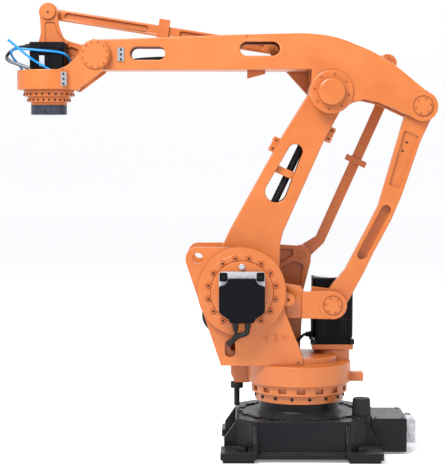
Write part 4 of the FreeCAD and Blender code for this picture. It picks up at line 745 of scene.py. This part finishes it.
# Hoses and cable of the wrist: each keeps the route and length of its solid.
wristFloor = 2.109
hoses = {
    "airHoseFree": {
        "node": "air_hose_1", "radius": 0.007, "length": 0.415, "material": blueTube,
        "slot": "blue_hose", "end": "bare", "route": [
            (0.087, -0.130, 0.0), (0.087, -0.130, 0.044), (0.052, -0.133, 0.074),
            (0.002, -0.134, 0.100), (-0.066, -0.133, 0.140), (-0.118, -0.131, 0.178),
            (-0.166, -0.129, 0.221), (-0.216, -0.126, 0.260)]},
    "airHoseLoop": {
        "node": "air_hose_2", "radius": 0.007, "length": 0.782, "material": blueTube,
        "slot": "blue_hose", "end": "object", "route": [
            (0.134, -0.020, 0.0), (0.134, -0.020, 0.070), (0.132, -0.044, 0.140),
            (0.112, -0.092, 0.180), (0.066, -0.114, 0.192), (-0.018, -0.115, 0.199),
            (-0.108, -0.112, 0.207), (-0.168, -0.104, 0.212), (-0.208, -0.074, 0.200),
            (-0.210, -0.034, 0.172), (-0.181, -0.008, 0.134), (-0.143, 0.002, 0.084),
            (-0.141, 0.002, 0.0)]},
    "wristCable": {
        "node": "wrist_cable", "radius": 0.009, "length": 0.486, "material": blackRubber,
        "slot": "black_rubber", "end": "object", "route": [
            (-0.048, -0.128, 0.0), (-0.048, -0.128, 0.052), (-0.082, -0.129, 0.092),
            (-0.150, -0.120, 0.118), (-0.212, -0.102, 0.138), (-0.240, -0.062, 0.164),
            (-0.218, -0.014, 0.203), (-0.168, 0.012, 0.231), (-0.100, 0.012, 0.231)]},
}
cableSheath = {"start": 0.22, "end": 0.62, "thickness": 0.0016, "lip": 0.0003}
cablePlug = [(0.0165, -0.001), (0.0165, 0.018), (0.014, 0.021), (0.014, 0.034), (0.011, 0.038)]
for name, hose in hoses.items():
    route = np.array(hose["route"]) + [toolAxis[0], 0, wristFloor]
    curve = bpy.data.curves.new(name, "CURVE")
    curve.dimensions = "3D"
    spline = curve.splines.new("NURBS")
    spline.points.add(len(route) - 1)
    spline.points.foreach_set("co", np.column_stack([route, np.ones(len(route))]).ravel())
    spline.order_u = 3
    spline.use_endpoint_u = True
    spline.resolution_u = 16
    piece = bpy.data.objects.new(name, curve)
    bpy.context.scene.collection.objects.link(piece)
    centreline = bpy.data.meshes.new_from_object(piece)
    followed = np.empty(len(centreline.vertices) * 3)
    centreline.vertices.foreach_get("co", followed)
    followed = followed.reshape(-1, 3)
    curve.bevel_depth = hose["radius"]
    curve.bevel_resolution = 5
    curve.use_fill_caps = True
    curve.materials.append(hose["material"])
    if name == "wristCable":
        # a woven tinned sheath covers the first stretch, and a plug joins it to the motor
        stretch = followed[int(len(followed) * cableSheath["start"]):
                           int(len(followed) * cableSheath["end"])]
        radii = np.full(len(stretch), hose["radius"] + cableSheath["thickness"])
        radii[[0, -1]] = hose["radius"] + cableSheath["lip"]
        sheath = addPiece("cableSheath", tubeShell(stretch, radii, 20), wovenSheath, "wrist")
        plug = addPiece("cablePlug", placedShell(turnedShell(cablePlug, 28), route[-1], -xAxis),
                        blackRubber, "wrist")
    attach(piece, "wrist")
    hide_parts(hose["node"])
print("wrist hoses done")

# Lower arm: a screwed pad stands on each edge, above the slot.
armAlong = (elbow - armPivot) / np.linalg.norm(elbow - armPivot)
armBehind = np.array([armAlong[2], 0, -armAlong[0]])
armPads = {"rearPad": {"below": 0.222, "side": 1}, "frontPad": {"below": 0.402, "side": -1}}
padSettings = {"length": 0.090, "width": 0.110, "height": 0.034, "headAlong": 0.028,
               "headAcross": 0.036, "headRadius": 0.0075, "sideAlong": 0.026,
               "sideRadius": 0.0055, "headHeight": 0.003}
armMesh = frame["nodes"]["lower_arm"].data
armSkin = BVHTree.FromPolygons([corner.co[:] for corner in armMesh.vertices],
                               [face.vertices[:] for face in armMesh.polygons])
padBlock = slabShell(roundedBox(padSettings["length"], padSettings["width"], 0.005), -0.006,
                     padSettings["height"], 0.002)
for name, pad in armPads.items():
    outwards = armBehind * pad["side"]
    aim = (elbow - armAlong * pad["below"]) * [1, 0, 1]
    spot = np.array(armSkin.ray_cast(aim + outwards * 0.4, -outwards)[0])
    addPiece(name, placedShell(padBlock, spot, outwards, armAlong), orangeEnamel, "lower_arm")
    padTop = spot + outwards * padSettings["height"]
    heads = [padTop + armAlong * signX * padSettings["headAlong"]
             + yAxis * signY * padSettings["headAcross"] for signX in (-1, 1) for signY in (-1, 1)]
    addScrews(name + "Screws", "lower_arm", heads, outwards, padSettings["headRadius"],
              padSettings["headHeight"], orangeEnamel)
    padSide = (spot + outwards * padSettings["height"] * 0.5
               - yAxis * padSettings["width"] / 2)
    sideHeads = [padSide + armAlong * sign * padSettings["sideAlong"] for sign in (-1, 1)]
    addScrews(name + "SideScrews", "lower_arm", sideHeads, nearSide, padSettings["sideRadius"],
              padSettings["headHeight"], blackOxide)
print("arm pads done")

# Conduit: it leaves the arm's foot in a loop in front of the side plates and bends down.
conduit = {"radius": 0.021, "pitch": 0.0085, "depth": 0.0016, "steps": 420, "route": [
    (-0.420, 0.052, 0.830), (-0.475, 0.052, 0.848), (-0.528, 0.054, 0.830),
    (-0.548, 0.058, 0.785), (-0.540, 0.064, 0.735), (-0.505, 0.074, 0.690),
    (-0.462, 0.084, 0.640)]}
loop = smoothRoute(conduit["route"], conduit["steps"])
wave = np.cos(walkedLengths(loop) / conduit["pitch"] * 2 * np.pi)
ridges = conduit["radius"] - conduit["depth"] * (0.5 + 0.5 * wave)
addPiece("conduitLoop", tubeShell(loop, ridges, 24), blackRubber, "turret")

# Arm cables: seen through the slots of the upper arm, lying on the floor of its hollow.
armCable = {"radius": 0.012, "spread": (-0.020, 0.008, 0.032)}
for number, spread in enumerate(armCable["spread"]):
    route = smoothRoute([(-1.020, spread * 0.6, 2.245), (-0.900, spread, 2.262),
                         (-0.700, spread, 2.268), (-0.450, spread * 1.2, 2.262),
                         (-0.200, spread * 1.5, 2.262), (-0.060, spread * 1.6, 2.262)])
    addPiece("armCable%d" % (number + 1), tubeShell(route, armCable["radius"]), blackRubber,
             "upper_arm")
print("conduits done")

# Base: machined pads round the deck with their screws, and the catches of the connector hood.
deck = {"height": nodeBox("base_casting")[1][2] - 0.075, "radius": 0.345, "count": 18,
        "firstPad": 4, "firstScrew": 14, "padSize": (0.062, 0.026, 0.003), "padHeight": 0.009,
        "headRadius": 0.009, "headHeight": 0.007}
deckMiddle = [0, 0, deck["height"]]
padShell = slabShell(roundedBox(*deck["padSize"]), -0.001, deck["padHeight"], 0.0015)
spots = ringPlaces(deckMiddle, zAxis, deck["radius"], deck["count"], deck["firstPad"])
addPiece("deckPads", joinedShells([placedShell(padShell, spot, zAxis, np.cross(zAxis, spot))
                                   for spot in spots]), blackCasting, "base")
spots = ringPlaces(deckMiddle, zAxis, deck["radius"], deck["count"], deck["firstScrew"])
addScrews("deckScrews", "base", spots, zAxis, deck["headRadius"], deck["headHeight"],
          blackCasting)
hoodLow, hoodHigh = nodeBox("connector_hood")
catch = {"thickness": 0.006, "width": 0.012, "gap": 0.004, "steps": 25, "line": [
    (0.050, 0.128), (0.040, 0.140), (0.020, 0.138), (0.012, 0.118), (0.022, 0.080),
    (0.034, 0.040), (0.040, 0.012)]}
lever = np.array(catch["line"])
stations = np.linspace(0, len(lever) - 1, catch["steps"])
fine = np.column_stack([np.interp(stations, np.arange(len(lever)), lever[:, axis])
                        for axis in (0, 1)])
strip, stripFaces = strokeShell(fine, catch["width"], catch["thickness"])
for name, side, flank, mirror in (("hoodCatch1", nearSide, hoodLow[1], [1, 1, 1]),
                                  ("hoodCatch2", farSide, hoodHigh[1], [1, -1, 1])):
    catchSeat = np.array([hoodLow[0], flank, hoodLow[2]]) + side * catch["gap"]
    addPiece(name, placedShell((strip * mirror, stripFaces), catchSeat, side, xAxis), zincPlate,
             "base")
boxLow, boxHigh = nodeBox("cable_box")
lid = {"along": (0.060, 0.215), "inset": 0.022, "headRadius": 0.007, "headHeight": 0.004}
lidScrews = [[boxLow[0] + along, across, boxHigh[2]] for along in lid["along"]
             for across in (boxLow[1] + lid["inset"], boxHigh[1] - lid["inset"])]
addScrews("boxLidScrews", "base", lidScrews, zAxis, lid["headRadius"], lid["headHeight"],
          blackOxide)

# Drive rod and side plate: the small tapped holes and the locking screw.
addScrews("driveRodHoles", "drive_rod", [(0.604, -0.1202, 1.785), (0.581, -0.1202, 1.737)],
          nearSide, 0.0065, 0.001, blackOxide)
addScrews("plateCornerScrew", "turret", [(-0.014, -0.225, 0.538)], nearSide, 0.0085, 0.004,
          orangeEnamel)

# Wrist lever: a disc and its screw cover the inner end of the top rod's pin.
leverCap = {"face": 0.0938, "disc": [(0.043, 0), (0.043, 0.0035), (0.0415, 0.005)],
            "thickness": 0.005, "headRadius": 0.010, "headHeight": 0.004}
leverSeat = (wristPivot + frontLink - elbow) * [1, 0, 1] + yAxis * leverCap["face"]
addPiece("leverCap", placedShell(turnedShell(leverCap["disc"], 48), leverSeat, nearSide),
         orangeEnamel, "wrist")
addScrews("leverCapScrew", "wrist", [leverSeat + nearSide * leverCap["thickness"]], nearSide,
          leverCap["headRadius"], leverCap["headHeight"], orangeEnamel)
print("base and small parts done")


# Studio: a white sweep with a faint glow under an even sky, a soft key, a low fill and a rim.
studio = {"front": -45.0, "bend": 32.0, "bendRadius": 6.0, "top": 24.0, "halfWidth": 45.0,
          "floorColour": "#F4F4F5", "floorGlow": 0.26, "keyPower": 620, "fillPower": 60,
          "rimPower": 140, "skyColour": "#F2F3F5", "skyStrength": 0.82}
turn = np.linspace(0, np.pi / 2, 24)
sweepLine = np.vstack([[studio["front"], 0],
                       np.column_stack([studio["bend"] + studio["bendRadius"] * np.sin(turn),
                                        studio["bendRadius"] * (1 - np.cos(turn))]),
                       [studio["bend"] + studio["bendRadius"], studio["top"]]])
sweepSides = np.array([-1, 1]) * studio["halfWidth"]
sweepPoints = np.stack([np.broadcast_to(sweepSides, (len(sweepLine), 2)),
                        np.repeat(sweepLine[:, :1], 2, 1), np.repeat(sweepLine[:, 1:], 2, 1)], -1)
floorMesh = bpy.data.meshes.new("studioSweep")
floorMesh.from_pydata(sweepPoints.reshape(-1, 3).tolist(), [], gridFaces(len(sweepLine), 2, False))
floorMesh.shade_smooth()
floorMaterial, floorTree = newMaterial("whiteSweep")
finishMaterial(floorTree, addNode(floorTree, "ShaderNodeBsdfPrincipled", inputs={
    "Base Color": srgb(studio["floorColour"]), "Roughness": 1.0, "Specular IOR Level": 0.0,
    "Emission Color": srgb(studio["floorColour"]), "Emission Strength": studio["floorGlow"]}))
floorMesh.materials.append(floorMaterial)
floor = bpy.data.objects.new("studioSweep", floorMesh)
bpy.context.scene.collection.objects.link(floor)


def addLight(name, power, size, place, target):
    data = bpy.data.lights.new(name, "AREA")
    data.energy, data.size = power, size
    light = bpy.data.objects.new(name, data)
    light.location = place
    direction = np.array(target) - np.array(place)
    yaw = math.atan2(direction[1], direction[0]) - math.pi / 2
    pitch = math.atan2(direction[2], math.hypot(direction[0], direction[1])) + math.pi / 2
    light.rotation_euler = (pitch, 0, yaw)
    bpy.context.scene.collection.objects.link(light)


addLight("keyLight", studio["keyPower"], 3.2, (-2.8, -4.2, 6.4), (-0.3, 0, 1.5))
addLight("fillLight", studio["fillPower"], 5.0, (5.0, -5.0, 3.0), (0, 0, 1.2))
addLight("rimLight", studio["rimPower"], 3.0, (1.5, 5.0, 5.0), (-0.3, 0, 1.5))
world = bpy.data.worlds.new("softSky")
world.use_nodes = True
sky = world.node_tree.nodes["Background"]
sky.inputs["Color"].default_value = srgb(studio["skyColour"])
sky.inputs["Strength"].default_value = studio["skyStrength"]
bpy.context.scene.world = world

# The camera stands between turret and elbow in height, square to the arm and far from it.
view = {"place": (-0.346, -8.7, 1.77), "pitchDown": 3.43, "yawLeft": 0.69, "focalLength": 114.9}
camera = bpy.data.objects.new("camera", bpy.data.cameras.new("camera"))
camera.location = view["place"]
camera.rotation_euler = (math.radians(90 - view["pitchDown"]), 0, math.radians(view["yawLeft"]))
camera.data.lens = view["focalLength"]
camera.data.sensor_width = 36
bpy.context.scene.collection.objects.link(camera)
bpy.context.scene.camera = camera
bpy.context.scene.view_settings.view_transform = "Standard"
